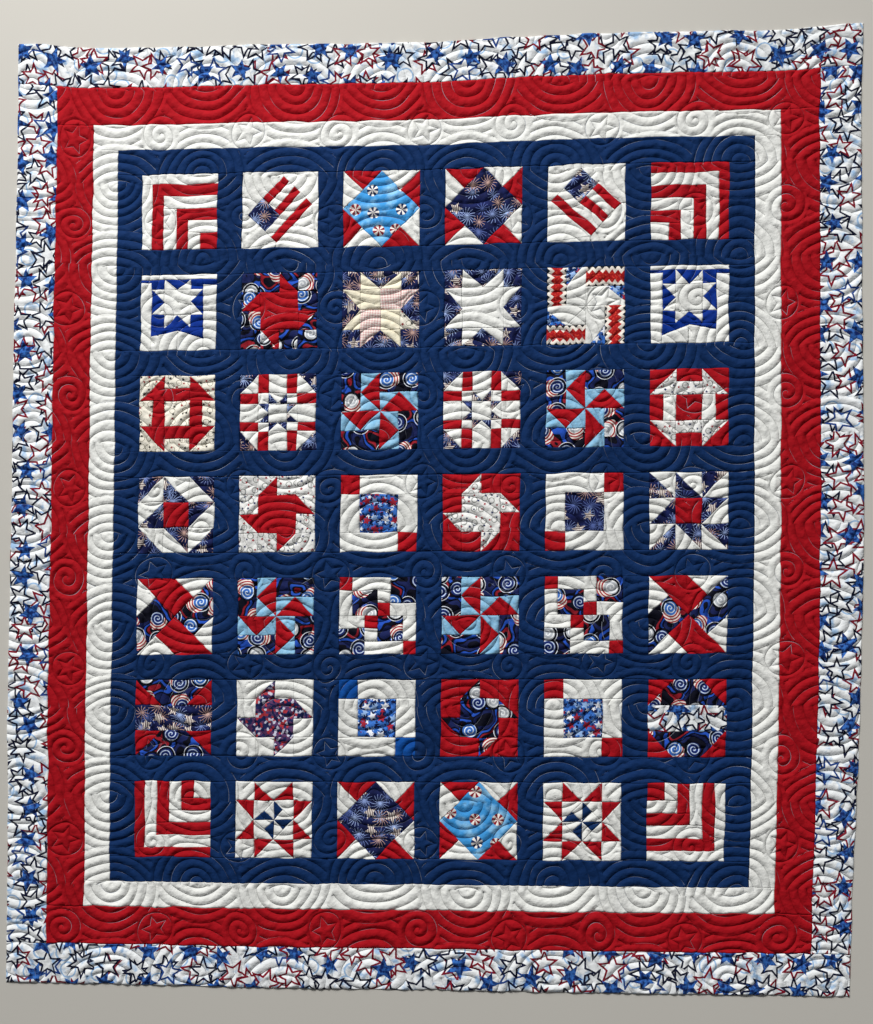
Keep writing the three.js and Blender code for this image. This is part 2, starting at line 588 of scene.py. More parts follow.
    def banded(self, middle: str, inward: bool) -> list[Patch]:
        """A printed band between two swirl bands with red ends cut slantwise.

        Args:
            middle: Letter of the printed band.
            inward: Whether the swirl bands narrow towards the middle.

        Returns:
            The patches of the block.
        """
        if inward:
            band = polygon("S", (0, 0), (1, 0), (2 / 3, 1 / 3), (1 / 3, 1 / 3))
            band += polygon("R", (0, 0), (1 / 3, 1 / 3), (0, 1 / 3))
            band += polygon("R", (1, 0), (1, 1 / 3), (2 / 3, 1 / 3))
        else:
            band = polygon("S", (1 / 3, 0), (2 / 3, 0), (1, 1 / 3), (0, 1 / 3))
            band += polygon("R", (0, 0), (1 / 3, 0), (0, 1 / 3))
            band += polygon("R", (2 / 3, 0), (1, 0), (1, 1 / 3))
        return band + quarter_turned(band, 2) + rect(middle, 0, 1 / 3, 1, 2 / 3)

    def pinwheel_star(self) -> list[Patch]:
        """A red star on white with a small pinwheel in its middle.

        Returns:
            The patches of the block.
        """
        cuts = (0, 0.245, 0.755, 1)
        patches = self.star(cuts, cuts, "W", "R", "")
        near, centre, middle = 0.245, 0.5, 0.3725
        quarter = polygon("W", (near, centre), (near, near), (centre, near))
        quarter += polygon("W", (middle, middle), (centre, near), (centre, centre))
        quarter += polygon("N", (near, centre), (middle, middle), (centre, centre))
        return patches + [p for times in range(4) for p in quarter_turned(quarter, times)]

    def rows(self) -> tuple[tuple[list[Patch], ...], ...]:
        """Lay the blocks out, seven rows of six from the top left.

        Returns:
            The rows, each with the patches of its blocks.
        """
        even = (0, 0.235, 0.765, 1)
        left_skirt = self.star_and_skirt(
            across=(0.14, 0.31, 0.66, 0.83),
            down=(0.065, 0.195, 0.53, 0.70),
            shoulder=(0.10, 0.135),
            skirt=(0.815, 0.735, 0.85),
        )
        right_skirt = self.star_and_skirt(
            across=(0.15, 0.32, 0.67, 0.845),
            down=(0.055, 0.235, 0.585, 0.745),
            shoulder=(0.095, 0.11),
            skirt=(0.905, 0.765, 0.825),
        )
        left_mill = chart((r"F/W W\F F\W", "W/F R F/W", r"W\F F\W W/F"), self.thirds, self.thirds)
        right_mill = chart((r"W\F W\F F/W", "W/F R F/W", r"W/F F\W F\W"), self.thirds, self.thirds)
        pinwheel, ring, whirl = self.pinwheel_star(), self.ringed_star(), self.whirl()
        twist, steps = self.twist(), self.stepping_squares()
        return (
            (
                self.corner_bars("W", "R", False, False),
                self.flag((0.075, 0.56), (0.54, 0.05), (0.455, 0.935)),
                self.diamond("K"),
                self.diamond("F"),
                self.flag((0.43, 0.05), (0.945, 0.51), (0.045, 0.47)),
                self.corner_bars("R", "W", True, False),
            ),
            (
                left_skirt,
                flipped(self.four_blades("R", "S"), True, False),
                self.star(even, even, "F", "EEQCEQEE", "EQQE"),
                self.star(even, even, "F", "W", "W"),
                self.spinning_strips(),
                right_skirt,
            ),
            (self.churn("C", "R", "R"), ring, whirl, ring, whirl, self.churn("R", "G", "W")),
            (
                left_mill,
                self.four_blades("R", "G"),
                self.framed("R", "P", False),
                self.four_blades("G", "R"),
                self.framed("R", "F", True),
                right_mill,
            ),
            (twist, whirl, steps, whirl, steps, twist),
            (
                self.banded("F", True),
                self.four_blades("T", "W"),
                self.framed("M", "P", False),
                self.four_blades("S", "R"),
                self.framed("R", "P", False),
                self.banded("A", False),
            ),
            (
                self.corner_bars("R", "W", False, True),
                pinwheel,
                self.diamond("F"),
                self.diamond("K"),
                pinwheel,
                self.corner_bars("W", "R", True, True),
            ),
        )


@dataclass(frozen=True)
class Lay:
    """How the quilt lies: a slight lean, hems that wander and seams that waver.

    Each row of the hem table holds the place along a hem and the drift of the left, right,
    bottom and top hems there, in millimetres.
    """

    lean: float = 0.0166
    side_fade: int = 4
    end_fade: int = 2
    middle: Point = (1.0, 5.9)
    waver: float = 0.8
    waver_length: float = 62.0
    hems: tuple[tuple[float, ...], ...] = (
        (-1.0, 3, -20, 13, 12),
        (-0.8, 2, -16, 12, -2),
        (-0.6, 1, -8, 10, -4),
        (-0.4, -3, -2, 7, -3),
        (-0.2, -1, 2, 6, -6),
        (0.0, 0, 4, 6, -7),
        (0.2, 0, 2, 4, -1),
        (0.4, 0, -1, 3, 2),
        (0.6, 2, -2, 2, 1),
        (0.8, 3, -5, 2, -1),
        (1.0, 1, -1, 0, 9),
    )

    def drift(self, column: int, along: np.ndarray) -> np.ndarray:
        """Drift of one hem, eased between the rows of the table.

        Args:
            column: The hem's column in the table.
            along: Places along the hem, from -1 to 1.

        Returns:
            Drift in millimetres.
        """
        table = np.array(self.hems)
        place = np.clip((along + 1) / 2, 0, 1) * (len(table) - 1)
        low = np.minimum(place.astype(int), len(table) - 2)
        share = place - low
        share = share * share * (3 - 2 * share)
        return table[low, column] + (table[low + 1, column] - table[low, column]) * share

    def spread(self, u: np.ndarray, v: np.ndarray) -> tuple[np.ndarray, np.ndarray]:
        """Carry points of the squared-up quilt to where they lie on the floor.

        A point moves sideways by the lean times its height up the quilt and by its hem's drift
        times a power of its share of the half width, and endways in the same way.

        Args:
            u: Places across.
            v: Places up the quilt.

        Returns:
            Places on the floor, x and y, in millimetres.
        """
        across, up = u / HALF_WIDTH, v / HALF_LENGTH
        side = np.where(u < 0, self.drift(1, up), self.drift(2, up)) * across ** self.side_fade
        end = np.where(v < 0, self.drift(3, across), self.drift(4, across)) * up ** self.end_fade
        x = u + self.lean * v + side + self.waver * sway(u, v, self.waver_length, 3)
        y = v + end + self.waver * sway(u, v, self.waver_length, 4)
        return x - self.middle[0], y - self.middle[1]


class Bench:
    """A node tree that is being wired. One method adds every node."""

    def __init__(self, tree: bpy.types.NodeTree) -> None:
        """Start on an empty tree."""
        self.tree = tree
        tree.nodes.clear()

    def add(
        self, kind: str, feeds: Sequence[Feed] | Mapping[str, Feed] = (), **settings: Any
    ) -> bpy.types.Node:
        """Add a node, set it and feed its inputs.

        Args:
            kind: The node's type.
            feeds: Values, sockets or nodes, in the order of the inputs in use or by input name.
            settings: Properties of the node.

        Returns:
            The new node. As a feed, it stands for its first output in use.
        """
        node = self.tree.nodes.new(kind)
        for name, value in settings.items():
            setattr(node, name, value)
        open_inputs = [socket for socket in node.inputs if socket.enabled]
        named = isinstance(feeds, Mapping)
        pairs = [(node.inputs[key], feeds[key]) for key in feeds] if named else zip(open_inputs, feeds)
        for socket, feed in pairs:
            if isinstance(feed, bpy.types.Node):
                feed = next(output for output in feed.outputs if output.enabled)
            if isinstance(feed, bpy.types.NodeSocket):
                self.tree.links.new(feed, socket)
            else:
                socket.default_value = feed
        return node


@dataclass(frozen=True)
class Spread:
    """Loosely spaced points on a cloth.

    The pitch is their spacing in millimetres, loose is how far they stray, from 0 to 1, and the
    seed sets one spread apart from another.
    """

    pitch: float
    loose: float
    seed: int


@dataclass(frozen=True)
class Blotches:
    """Soft noise on a cloth: its size in millimetres, and the gain and shift that make it a share."""

    size: float
    gain: float
    shift: float
    detail: float = 3.0


def scatter(bench: Bench, cut: Feed, spread: Spread) -> tuple[Feed, Feed]:
    """Part the cloth into cells round loosely spaced points.

    Args:
        bench: Tree to wire.
        cut: Place on the cloth, in millimetres.
        spread: How the points are spaced.

    Returns:
        Place relative to the cell's point in millimetres, and a node of the cell's three chances.
    """
    scale = (1 / spread.pitch,) * 3
    shift = (spread.seed * SEED_SHIFT[0], spread.seed * SEED_SHIFT[1], 0)
    place = bench.add(VECTOR, (cut, scale, shift), operation="MULTIPLY_ADD")
    feeds = {"Vector": place, "Scale": 1.0, "Randomness": spread.loose}
    cell = bench.add(VORONOI, feeds, voronoi_dimensions="2D")
    offset = bench.add(VECTOR, (place, cell.outputs["Position"]), operation="SUBTRACT")
    offset = bench.add(VECTOR, (offset, spread.pitch), operation="SCALE")
    return offset, bench.add(CHANCES, (cell.outputs["Color"],))


def polar(bench: Bench, offset: Feed) -> tuple[Feed, Feed]:
    """Distance and angle of a place seen from its cell's point.

    Args:
        bench: Tree to wire.
        offset: Place relative to the point.

    Returns:
        Distance in the offset's unit, and angle in radians.
    """
    parts = bench.add(PARTS, (offset,))
    angle = bench.add(MATH, (parts.outputs["Y"], parts.outputs["X"]), operation="ARCTAN2")
    return bench.add(VECTOR, (offset,), operation="LENGTH"), angle


def star_edge(bench: Bench, offset: Feed, chance: Feed, reach: float) -> Feed:
    """Distance outside a five-pointed star's edge.

    With r the distance from the middle and a the angle from the nearest point, the edge is
    where r cos(a - t) equals the reach times cos(t), t being the slant of the edge's normal.

    Args:
        bench: Tree to wire.
        offset: Place relative to the star's middle.
        chance: Node of chances that turn and size the star.
        reach: Middle to point, in millimetres.

    Returns:
        Millimetres outside the edge, less than zero inside.
    """
    radius, angle = polar(bench, offset)
    turned = bench.add(MATH, (chance, 2 * math.pi, angle), operation="MULTIPLY_ADD")
    tip = bench.add(MATH, (turned, math.pi / 5), operation="PINGPONG")
    lean = bench.add(MATH, (tip, STAR_SLANT), operation="SUBTRACT")
    cosine = bench.add(MATH, (lean,), operation="COSINE")
    full = reach * math.cos(STAR_SLANT)
    least, extra = STAR_SIZES
    limit = bench.add(MATH, (chance.outputs[1], -extra * full, -least * full), operation="MULTIPLY_ADD")
    return bench.add(MATH, (radius, cosine, limit), operation="MULTIPLY_ADD")


def blotched(bench: Bench, cut: Feed, blotches: Blotches, first: str, second: str) -> Feed:
    """Mix two inks in soft blotches, by noise that is stretched and clipped to a share.

    Args:
        bench: Tree to wire.
        cut: Place on the cloth, in millimetres.
        blotches: Size and contrast of the blotches.
        first: Ink where the noise is low.
        second: Ink where it is high.

    Returns:
        The mixed colour.
    """
    feeds = {"Vector": cut, "Scale": 1 / blotches.size, "Detail": blotches.detail}
    noise = bench.add(NOISE, feeds, noise_dimensions="2D")
    levels = (noise, blotches.gain, blotches.shift)
    share = bench.add(MATH, levels, operation="MULTIPLY_ADD", use_clamp=True)
    return bench.add(MIX, (share, linear(first), linear(second)), data_type="RGBA")


def drawn(bench: Bench, chance: Feed, inks: Sequence[str], shares: Sequence[float]) -> Feed:
    """Give each cell one of several inks by chance.

    Args:
        bench: Tree to wire.
        chance: One chance of the cell.
        inks: The inks in order.
        shares: Chance above which each ink after the first is taken.

    Returns:
        The cell's colour.
    """
    colour = linear(inks[0])
    for share, code in zip(shares, inks[1:]):
        pick = bench.add(MATH, (chance, share), operation="GREATER_THAN")
        colour = bench.add(MIX, (pick, colour, linear(code)), data_type="RGBA")
    return colour


class Finish(ABC):
    """The look of one cotton."""

    roughness: tuple[float, float] = (0.74, 0.86)

    @abstractmethod
    def ink(self, bench: Bench, cut: Feed) -> Feed:
        """Wire the colour of the cloth.

        Args:
            bench: Tree to wire.
            cut: Place on the cloth, in millimetres.

        Returns:
            The colour at that place.
        """


@dataclass(frozen=True)
class SolidCotton(Finish):
    """Plain dyed cotton: even matt colour, a little deeper in soft blotches."""

    colour: str
    deep: str
    blotch: float = 14.0

    def ink(self, bench: Bench, cut: Feed) -> Feed:
        """Two close tones, mixed by soft noise.

        Args:
            bench: Tree to wire.
            cut: Place on the cloth, in millimetres.

        Returns:
            The colour at that place.
        """
        feeds = {"Vector": cut, "Scale": 1 / self.blotch, "Detail": 3.0}
        noise = bench.add(NOISE, feeds, noise_dimensions="2D")
        return bench.add(MIX, (noise, linear(self.deep), linear(self.colour)), data_type="RGBA")


@dataclass(frozen=True)
class StarPrint(Finish):
    """Printed cotton: outlined and filled stars over pale watercolour blotches.

    Each outline row holds a spread of stars and their reach.
    """

    ground: str = "#eef0f0"
    wash: str = "#9dbcdc"
    wash_blotches: Blotches = Blotches(24.0, 6.0, -3.3)
    fill: str = "#3a70c0"
    fill_deep: str = "#11245a"
    fill_blotches: Blotches = Blotches(8.0, 4.0, -1.6)
    fills: Spread = Spread(76.0, 0.45, 7)
    fill_reach: float = 25.0
    inks: tuple[str, str, str] = ("#11162f", "#7c1526", "#22407e")
    ink_shares: tuple[float, float] = (0.52, 0.92)
    outlines: tuple[tuple[Spread, float], ...] = (
        (Spread(57.0, 0.35, 1), 31.0),
        (Spread(62.0, 0.35, 2), 32.0),
    )
    line: float = 3.7
    loops: Spread = Spread(63.0, 0.8, 4)
    loop_radius: float = 15.0
    loop_half: float = 1.6

    def ink(self, bench: Bench, cut: Feed) -> Feed:
        """Wash and pale loops, then two layers of outlined stars, then blotched filled ones.

        Args:
            bench: Tree to wire.
            cut: Place on the cloth, in millimetres.

        Returns:
            The colour at that place.
        """
        paper = blotched(bench, cut, self.wash_blotches, self.ground, self.wash)
        offset, _ = scatter(bench, cut, self.loops)
        radius, _ = polar(bench, offset)
        loop = bench.add(MATH, (radius, self.loop_radius, self.loop_half), operation="COMPARE")
        tone = bench.add(MIX, (loop, paper, linear(self.wash)), data_type="RGBA")
        for spread, reach in self.outlines:
            offset, chance = scatter(bench, cut, spread)
            edge = star_edge(bench, offset, chance, reach)
            inside = bench.add(MATH, (edge, 0.0), operation="LESS_THAN")
            tone = bench.add(MIX, (inside, tone, paper), data_type="RGBA")
            outline = bench.add(MATH, (edge, -self.line / 2, self.line / 2), operation="COMPARE")
            colour = drawn(bench, chance.outputs[2], self.inks, self.ink_shares)
            tone = bench.add(MIX, (outline, tone, colour), data_type="RGBA")
        offset, chance = scatter(bench, cut, self.fills)
        edge = star_edge(bench, offset, chance, self.fill_reach)
        inside = bench.add(MATH, (edge, 0.0), operation="LESS_THAN")
        blue = blotched(bench, cut, self.fill_blotches, self.fill_deep, self.fill)
        return bench.add(MIX, (inside, tone, blue), data_type="RGBA")


@dataclass(frozen=True)
class BurstPrint(Finish):
    """Printed cotton: bursts of thin strokes and striped stars on a night-blue ground.

    Each burst row holds a spread of bursts, their reach and their number of strokes.
    """

    ground: str = "#11163a"
    haze: str = "#1c2558"
    haze_blotches: Blotches = Blotches(18.0, 3.0, -1.2)
    dim: str = "#4a5c9c"
    pale: str = "#a6bbe4"
    warm: str = "#bf9c90"
    warm_share: float = 0.3
    cream: str = "#efe6da"
    russet: str = "#4c2a3a"
    bursts: tuple[tuple[Spread, float, int], ...] = (
        (Spread(41.0, 0.7, 1), 18.0, 15),
        (Spread(36.0, 0.7, 4), 13.0, 11),
    )
    stroke: float = 0.5
    bend: float = 0.02
    stars: Spread = Spread(36.0, 0.7, 5)
    star_reach: float = 14.0
    starless_share: float = 0.35
    stripe: float = 1.7

    def ink(self, bench: Bench, cut: Feed) -> Feed:
        """Haze, then bursts of bent spokes, dim, pale or warm by chance, then striped stars.

        Args:
            bench: Tree to wire.
            cut: Place on the cloth, in millimetres.

        Returns:
            The colour at that place.
        """
        tone = blotched(bench, cut, self.haze_blotches, self.ground, self.haze)
        for spread, reach, spokes in self.bursts:
            offset, chance = scatter(bench, cut, spread)
            radius, angle = polar(bench, offset)
            bent = bench.add(MATH, (radius, self.bend, angle), operation="MULTIPLY_ADD")
            spoke = bench.add(MATH, (bent, math.pi / spokes), operation="PINGPONG")
            beside = bench.add(MATH, (spoke, radius), operation="MULTIPLY")
            near = bench.add(MATH, (beside, self.stroke), operation="LESS_THAN")
            inside = bench.add(MATH, (radius, reach), operation="LESS_THAN")
            strokes = bench.add(MATH, (near, inside), operation="MULTIPLY")
            colour = bench.add(MIX, (chance, linear(self.dim), linear(self.pale)), data_type="RGBA")
            warm = bench.add(MATH, (chance.outputs[1], self.warm_share), operation="LESS_THAN")
            colour = bench.add(MIX, (warm, colour, linear(self.warm)), data_type="RGBA")
            tone = bench.add(MIX, (strokes, tone, colour), data_type="RGBA")
        offset, chance = scatter(bench, cut, self.stars)
        edge = star_edge(bench, offset, chance, self.star_reach)
        inside = bench.add(MATH, (edge, 0.0), operation="LESS_THAN")
        some = bench.add(MATH, (chance.outputs[2], self.starless_share), operation="GREATER_THAN")
        shown = bench.add(MATH, (inside, some), operation="MULTIPLY")
        parts = bench.add(PARTS, (offset,))
        band = bench.add(MATH, (parts, self.stripe), operation="PINGPONG")
        dark = bench.add(MATH, (band, self.stripe / 2), operation="GREATER_THAN")
        stripes = bench.add(MIX, (dark, linear(self.cream), linear(self.russet)), data_type="RGBA")
        return bench.add(MIX, (shown, tone, stripes), data_type="RGBA")


@dataclass(frozen=True)
class SwirlPrint(Finish):
    """Printed cotton: wound discs, some with a red-striped lobe, over ribbons on near-black.

    Each ribbon row holds an ink, the level of flowing noise that it follows and its half width.
    """

    ground: str = "#0b0c1a"
    flow_size: float = 42.0
    flow_detail: float = 0.6
    ribbons: tuple[tuple[str, float, float], ...] = (
        ("#1a2352", 0.40, 0.05),
        ("#2550b4", 0.53, 0.032),
        ("#8f1c28", 0.645, 0.03),
    )
    line: str = "#e6ebf2"
    discs: tuple[str, str, str] = ("#1a2a68", "#3b6cba", "#b9bdc2")
    windings: tuple[str, str, str] = ("#c4d5ee", "#dbe8f4", "#f2f3f2")
    disc_shares: tuple[float, float] = (0.5, 0.74)
    red: str = "#a32733"
    cream: str = "#efe4da"
    spread: Spread = Spread(50.0, 0.5, 3)
    disc: float = 13.5
    ring: float = 18.0
    ring_half: float = 0.6
    ringless_share: float = 0.45
    lobe: float = 17.5
    lobe_shift: tuple[float, float, float] = (-4.0, 11.0, 0.0)
    lobeless_share: float = 0.5
    winding: float = 6.4
    winding_gap: float = 0.35
    stripe: float = 2.7

    def ink(self, bench: Bench, cut: Feed) -> Feed:
        """Ground and ribbons, striped lobes below some discs, thin rings, and discs with a spiral.

        Args:
            bench: Tree to wire.
            cut: Place on the cloth, in millimetres.

        Returns:
            The colour at that place.
        """
        feeds = {"Vector": cut, "Scale": 1 / self.flow_size, "Detail": self.flow_detail}
        flow = bench.add(NOISE, feeds, noise_dimensions="2D")
        tone = linear(self.ground)
        for code, level, half in self.ribbons:
            ribbon = bench.add(MATH, (flow, level, half), operation="COMPARE")
            tone = bench.add(MIX, (ribbon, tone, linear(code)), data_type="RGBA")
        offset, chance = scatter(bench, cut, self.spread)
        radius, angle = polar(bench, offset)
        around = bench.add(MATH, (radius, self.ring), operation="LESS_THAN")
        tone = bench.add(MIX, (around, tone, linear(self.ground)), data_type="RGBA")
        ring = bench.add(MATH, (radius, self.ring, self.ring_half), operation="COMPARE")
        ringed = bench.add(MATH, (chance.outputs[1], self.ringless_share), operation="GREATER_THAN")
        ring = bench.add(MATH, (ring, ringed), operation="MULTIPLY")
        tone = bench.add(MIX, (ring, tone, linear(self.line)), data_type="RGBA")
        below = bench.add(VECTOR, (offset, self.lobe_shift), operation="ADD")
        below = bench.add(VECTOR, (below,), operation="LENGTH")
        lobe = bench.add(MATH, (below, self.lobe), operation="LESS_THAN")
        some = bench.add(MATH, (chance.outputs[2], self.lobeless_share), operation="GREATER_THAN")
        lobe = bench.add(MATH, (lobe, some), operation="MULTIPLY")
        step = bench.add(MATH, (radius, self.stripe), operation="PINGPONG")
        stripe = bench.add(MATH, (step, self.stripe / 2), operation="GREATER_THAN")
        stripes = bench.add(MIX, (stripe, linear(self.red), linear(self.cream)), data_type="RGBA")
        tone = bench.add(MIX, (lobe, tone, stripes), data_type="RGBA")
        pull = -self.winding / (2 * math.pi)
        wound = bench.add(MATH, (angle, pull, radius), operation="MULTIPLY_ADD")
        across = bench.add(MATH, (wound, self.winding / 2), operation="PINGPONG")
        inked = bench.add(MATH, (across, self.winding * self.winding_gap), operation="GREATER_THAN")
        base = drawn(bench, chance, self.discs, self.disc_shares)
        line = drawn(bench, chance, self.windings, self.disc_shares)
        wheel = bench.add(MIX, (inked, base, line), data_type="RGBA")
        disc = bench.add(MATH, (radius, self.disc), operation="LESS_THAN")
        return bench.add(MIX, (disc, tone, wheel), data_type="RGBA")


@dataclass(frozen=True)
class PackedStarPrint(Finish):
    """Printed cotton: small stars in blue, red and white, close together on mixed blues.

    Each layer holds a spread of stars and their reach.
    """

    ground: str = "#131b44"
    wash: str = "#2f66b8"
    wash_blotches: Blotches = Blotches(9.0, 5.0, -2.1, 2.0)
    inks: tuple[str, str, str, str] = ("#3e74c8", "#93b4e0", "#a02638", "#e9ecf2")
    ink_shares: tuple[float, float, float] = (0.35, 0.59, 0.79)
    layers: tuple[tuple[Spread, float], ...] = ((Spread(12.0, 0.4, 1), 5.4), (Spread(18.0, 0.4, 2), 9.5))

    def ink(self, bench: Bench, cut: Feed) -> Feed:
        """A blotched ground, then two layers of filled stars, each star's ink drawn by chance.

        Args:
            bench: Tree to wire.
            cut: Place on the cloth, in millimetres.

        Returns:
            The colour at that place.
        """
        tone = blotched(bench, cut, self.wash_blotches, self.ground, self.wash)
        for spread, reach in self.layers:
            offset, chance = scatter(bench, cut, spread)
            edge = star_edge(bench, offset, chance, reach)
            inside = bench.add(MATH, (edge, 0.0), operation="LESS_THAN")
            colour = drawn(bench, chance.outputs[2], self.inks, self.ink_shares)
            tone = bench.add(MIX, (inside, tone, colour), data_type="RGBA")
        return tone


@dataclass(frozen=True)
class RingPrint(Finish):
    """Printed cotton: thin rings and tiny stars or dots on a light ground."""

    ground: str
    ring: str
    inks: tuple[str, str]
    rings: Spread
    ring_width: float
    marks: Spread
    mark_reach: float
    ring_radius: float = 5.4
    ink_shares: tuple[float] = (0.5,)

    def ink(self, bench: Bench, cut: Feed) -> Feed:
        """A ring in each cell of one scatter and a small star in each cell of another.

        Args:
            bench: Tree to wire.
            cut: Place on the cloth, in millimetres.

        Returns:
            The colour at that place.
        """
        offset, _ = scatter(bench, cut, self.rings)
        radius, _ = polar(bench, offset)
        ring = bench.add(MATH, (radius, self.ring_radius, self.ring_width / 2), operation="COMPARE")
        tone = bench.add(MIX, (ring, linear(self.ground), linear(self.ring)), data_type="RGBA")
        offset, chance = scatter(bench, cut, self.marks)
        edge = star_edge(bench, offset, chance, self.mark_reach)
        inside = bench.add(MATH, (edge, 0.0), operation="LESS_THAN")
        colour = drawn(bench, chance.outputs[2], self.inks, self.ink_shares)
        return bench.add(MIX, (inside, tone, colour), data_type="RGBA")


@dataclass(frozen=True)
class Gingham(Finish):
    """Woven check: pale squares, tinted stripes and deeper crossings."""

    pale: str = "#f4eae1"
    tint: str = "#cb9290"
    square: float = 2.6
    stripe_share: float = 0.42

    def ink(self, bench: Bench, cut: Feed) -> Feed:
        """A share of the tint for each of the two stripes that a place can lie on.

        Args:
            bench: Tree to wire.
            cut: Place on the cloth, in millimetres.

        Returns:
            The colour at that place.
        """
        parts = bench.add(PARTS, (cut,))
        stripes = []
        for axis in ("X", "Y"):
            place = bench.add(MATH, (parts.outputs[axis], self.square), operation="PINGPONG")
            stripes.append(bench.add(MATH, (place, self.square / 2), operation="GREATER_THAN"))
        both = bench.add(MATH, stripes, operation="ADD")
        share = bench.add(MATH, (both, self.stripe_share), operation="MULTIPLY")
        return bench.add(MIX, (share, linear(self.pale), linear(self.tint)), data_type="RGBA")


@dataclass(frozen=True)
class ZigzagPrint(Finish):
    """Printed cotton: a red zigzag down the strip, edged in cream on near-black."""

    red: str = "#a81a1e"
    fleck: str = "#d4402f"
    fleck_size: float = 4.0
    fleck_level: float = 0.58
    edge: str = "#efe6da"
    ground: str = "#1c2026"
    tooth: float = 6.4
    depth: float = 7.5
    half_red: float = 9.4
    half_edge: float = 17.6

    def ink(self, bench: Bench, cut: Feed) -> Feed:
        """Bands by the distance from the strip's middle plus a toothed line.

        Args:
            bench: Tree to wire.
            cut: Place on the cloth, in millimetres.

        Returns:
            The colour at that place.
        """
        parts = bench.add(PARTS, (cut,))
        tooth = bench.add(MATH, (parts.outputs["X"], self.tooth), operation="PINGPONG")
        middle = bench.add(MATH, (parts.outputs["Y"],), operation="ABSOLUTE")
        level = bench.add(MATH, (tooth, self.depth / self.tooth, middle), operation="MULTIPLY_ADD")
        feeds = {"Vector": cut, "Scale": 1 / self.fleck_size, "Detail": 2.0}
        flecks = bench.add(NOISE, feeds, noise_dimensions="2D")
        spots = bench.add(MATH, (flecks, self.fleck_level), operation="GREATER_THAN")
        red = bench.add(MIX, (spots, linear(self.red), linear(self.fleck)), data_type="RGBA")
        outer = bench.add(MATH, (level, self.half_red + self.depth / 2), operation="GREATER_THAN")
        tone = bench.add(MIX, (outer, red, linear(self.edge)), data_type="RGBA")
        dark = bench.add(MATH, (level, self.half_edge + self.depth / 2), operation="GREATER_THAN")
        return bench.add(MIX, (dark, tone, linear(self.ground)), data_type="RGBA")


@dataclass(frozen=True)
class SpeckPrint(Finish):
    """Printed cotton: small angular specks of navy, plum, red and pale grey."""

    inks: tuple[str, str, str, str] = ("#1d2450", "#57375f", "#a8333c", "#c4c4d4")
    ink_shares: tuple[float, float, float] = (0.4, 0.64, 0.84)
    specks: Spread = Spread(4.8, 0.9, 2)

    def ink(self, bench: Bench, cut: Feed) -> Feed:
        """Each cell of a fine scatter takes one ink by chance."""
        _, chance = scatter(bench, cut, self.specks)
        return drawn(bench, chance, self.inks, self.ink_shares)


@dataclass(frozen=True)
class RosettePrint(Finish):
    """Printed cotton: striped round rosettes on sky blue."""

    ground: str = "#3f93d2"
    cloud: str = "#8fc6ea"
    clouds: Blotches = Blotches(30.0, 4.0, -1.9)
    light: str = "#efe9e0"
    inks: tuple[str, str] = ("#8c2430", "#1f2f5c")
    ink_shares: tuple[float] = (0.5,)
    spread: Spread = Spread(46.0, 0.35, 6)
    radius: float = 11.5
    sectors: int = 6

    def ink(self, bench: Bench, cut: Feed) -> Feed:
        """Sky with soft clouds, and rosettes cut into light and inked sectors.

        Args:
            bench: Tree to wire.
            cut: Place on the cloth, in millimetres.

        Returns:
            The colour at that place.
        """
        tone = blotched(bench, cut, self.clouds, self.ground, self.cloud)
        offset, chance = scatter(bench, cut, self.spread)
        radius, angle = polar(bench, offset)
        turned = bench.add(MATH, (chance, 2 * math.pi, angle), operation="MULTIPLY_ADD")
        sector = bench.add(MATH, (turned, math.pi / self.sectors), operation="PINGPONG")
        inked = bench.add(MATH, (sector, math.pi / self.sectors / 2), operation="GREATER_THAN")
        colour = drawn(bench, chance.outputs[1], self.inks, self.ink_shares)
        wheel = bench.add(MIX, (inked, linear(self.light), colour), data_type="RGBA")
        disc = bench.add(MATH, (radius, self.radius), operation="LESS_THAN")
        return bench.add(MIX, (disc, tone, wheel), data_type="RGBA")


FINISHES: dict[Fabric, Finish] = {
    Fabric.RED: SolidCotton("#b0131f", "#9c0c17"),
    Fabric.WHITE: SolidCotton("#eeeee9", "#e4e4de"),
    Fabric.NAVY: SolidCotton("#103060", "#0b2852"),
    Fabric.ROYAL: SolidCotton("#0b3590", "#08287a"),
    Fabric.MID_BLUE: SolidCotton("#12529f", "#0c4390"),
    Fabric.PALE_BLUE: SolidCotton("#a5cfe6", "#6aa8d0", 9.0),
    Fabric.CREAM: SolidCotton("#f3edd6", "#e4d9bd", 11.0),
    Fabric.STARS: StarPrint(),
    Fabric.BURSTS: BurstPrint(),
    Fabric.SWIRLS: SwirlPrint(),
    Fabric.PACKED_STARS: PackedStarPrint(),
    Fabric.RINGS: RingPrint(
        ground="#e9e8e4",
        ring="#9b9d98",
        inks=("#9c2832", "#26325c"),
        rings=Spread(20.0, 0.5, 4),
        ring_width=2.0,
        marks=Spread(15.0, 0.6, 9),
        mark_reach=3.4,
    ),
    Fabric.SPRIGS: RingPrint(
        ground="#efe9d9",
        ring="#77745f",
        inks=("#9c3a3c", "#2c2c2c"),
        rings=Spread(19.0, 0.5, 4),
        ring_width=1.0,
        marks=Spread(16.0, 0.6, 9),
        mark_reach=3.8,
    ),
    Fabric.GINGHAM: Gingham(),
    Fabric.ZIGZAG: ZigzagPrint(),
    Fabric.SPECKS: SpeckPrint(),
    Fabric.ROSETTES: RosettePrint(),
    Fabric.BACKING: SolidCotton("#dcdcd6", "#d2d2cb", 25.0),
}


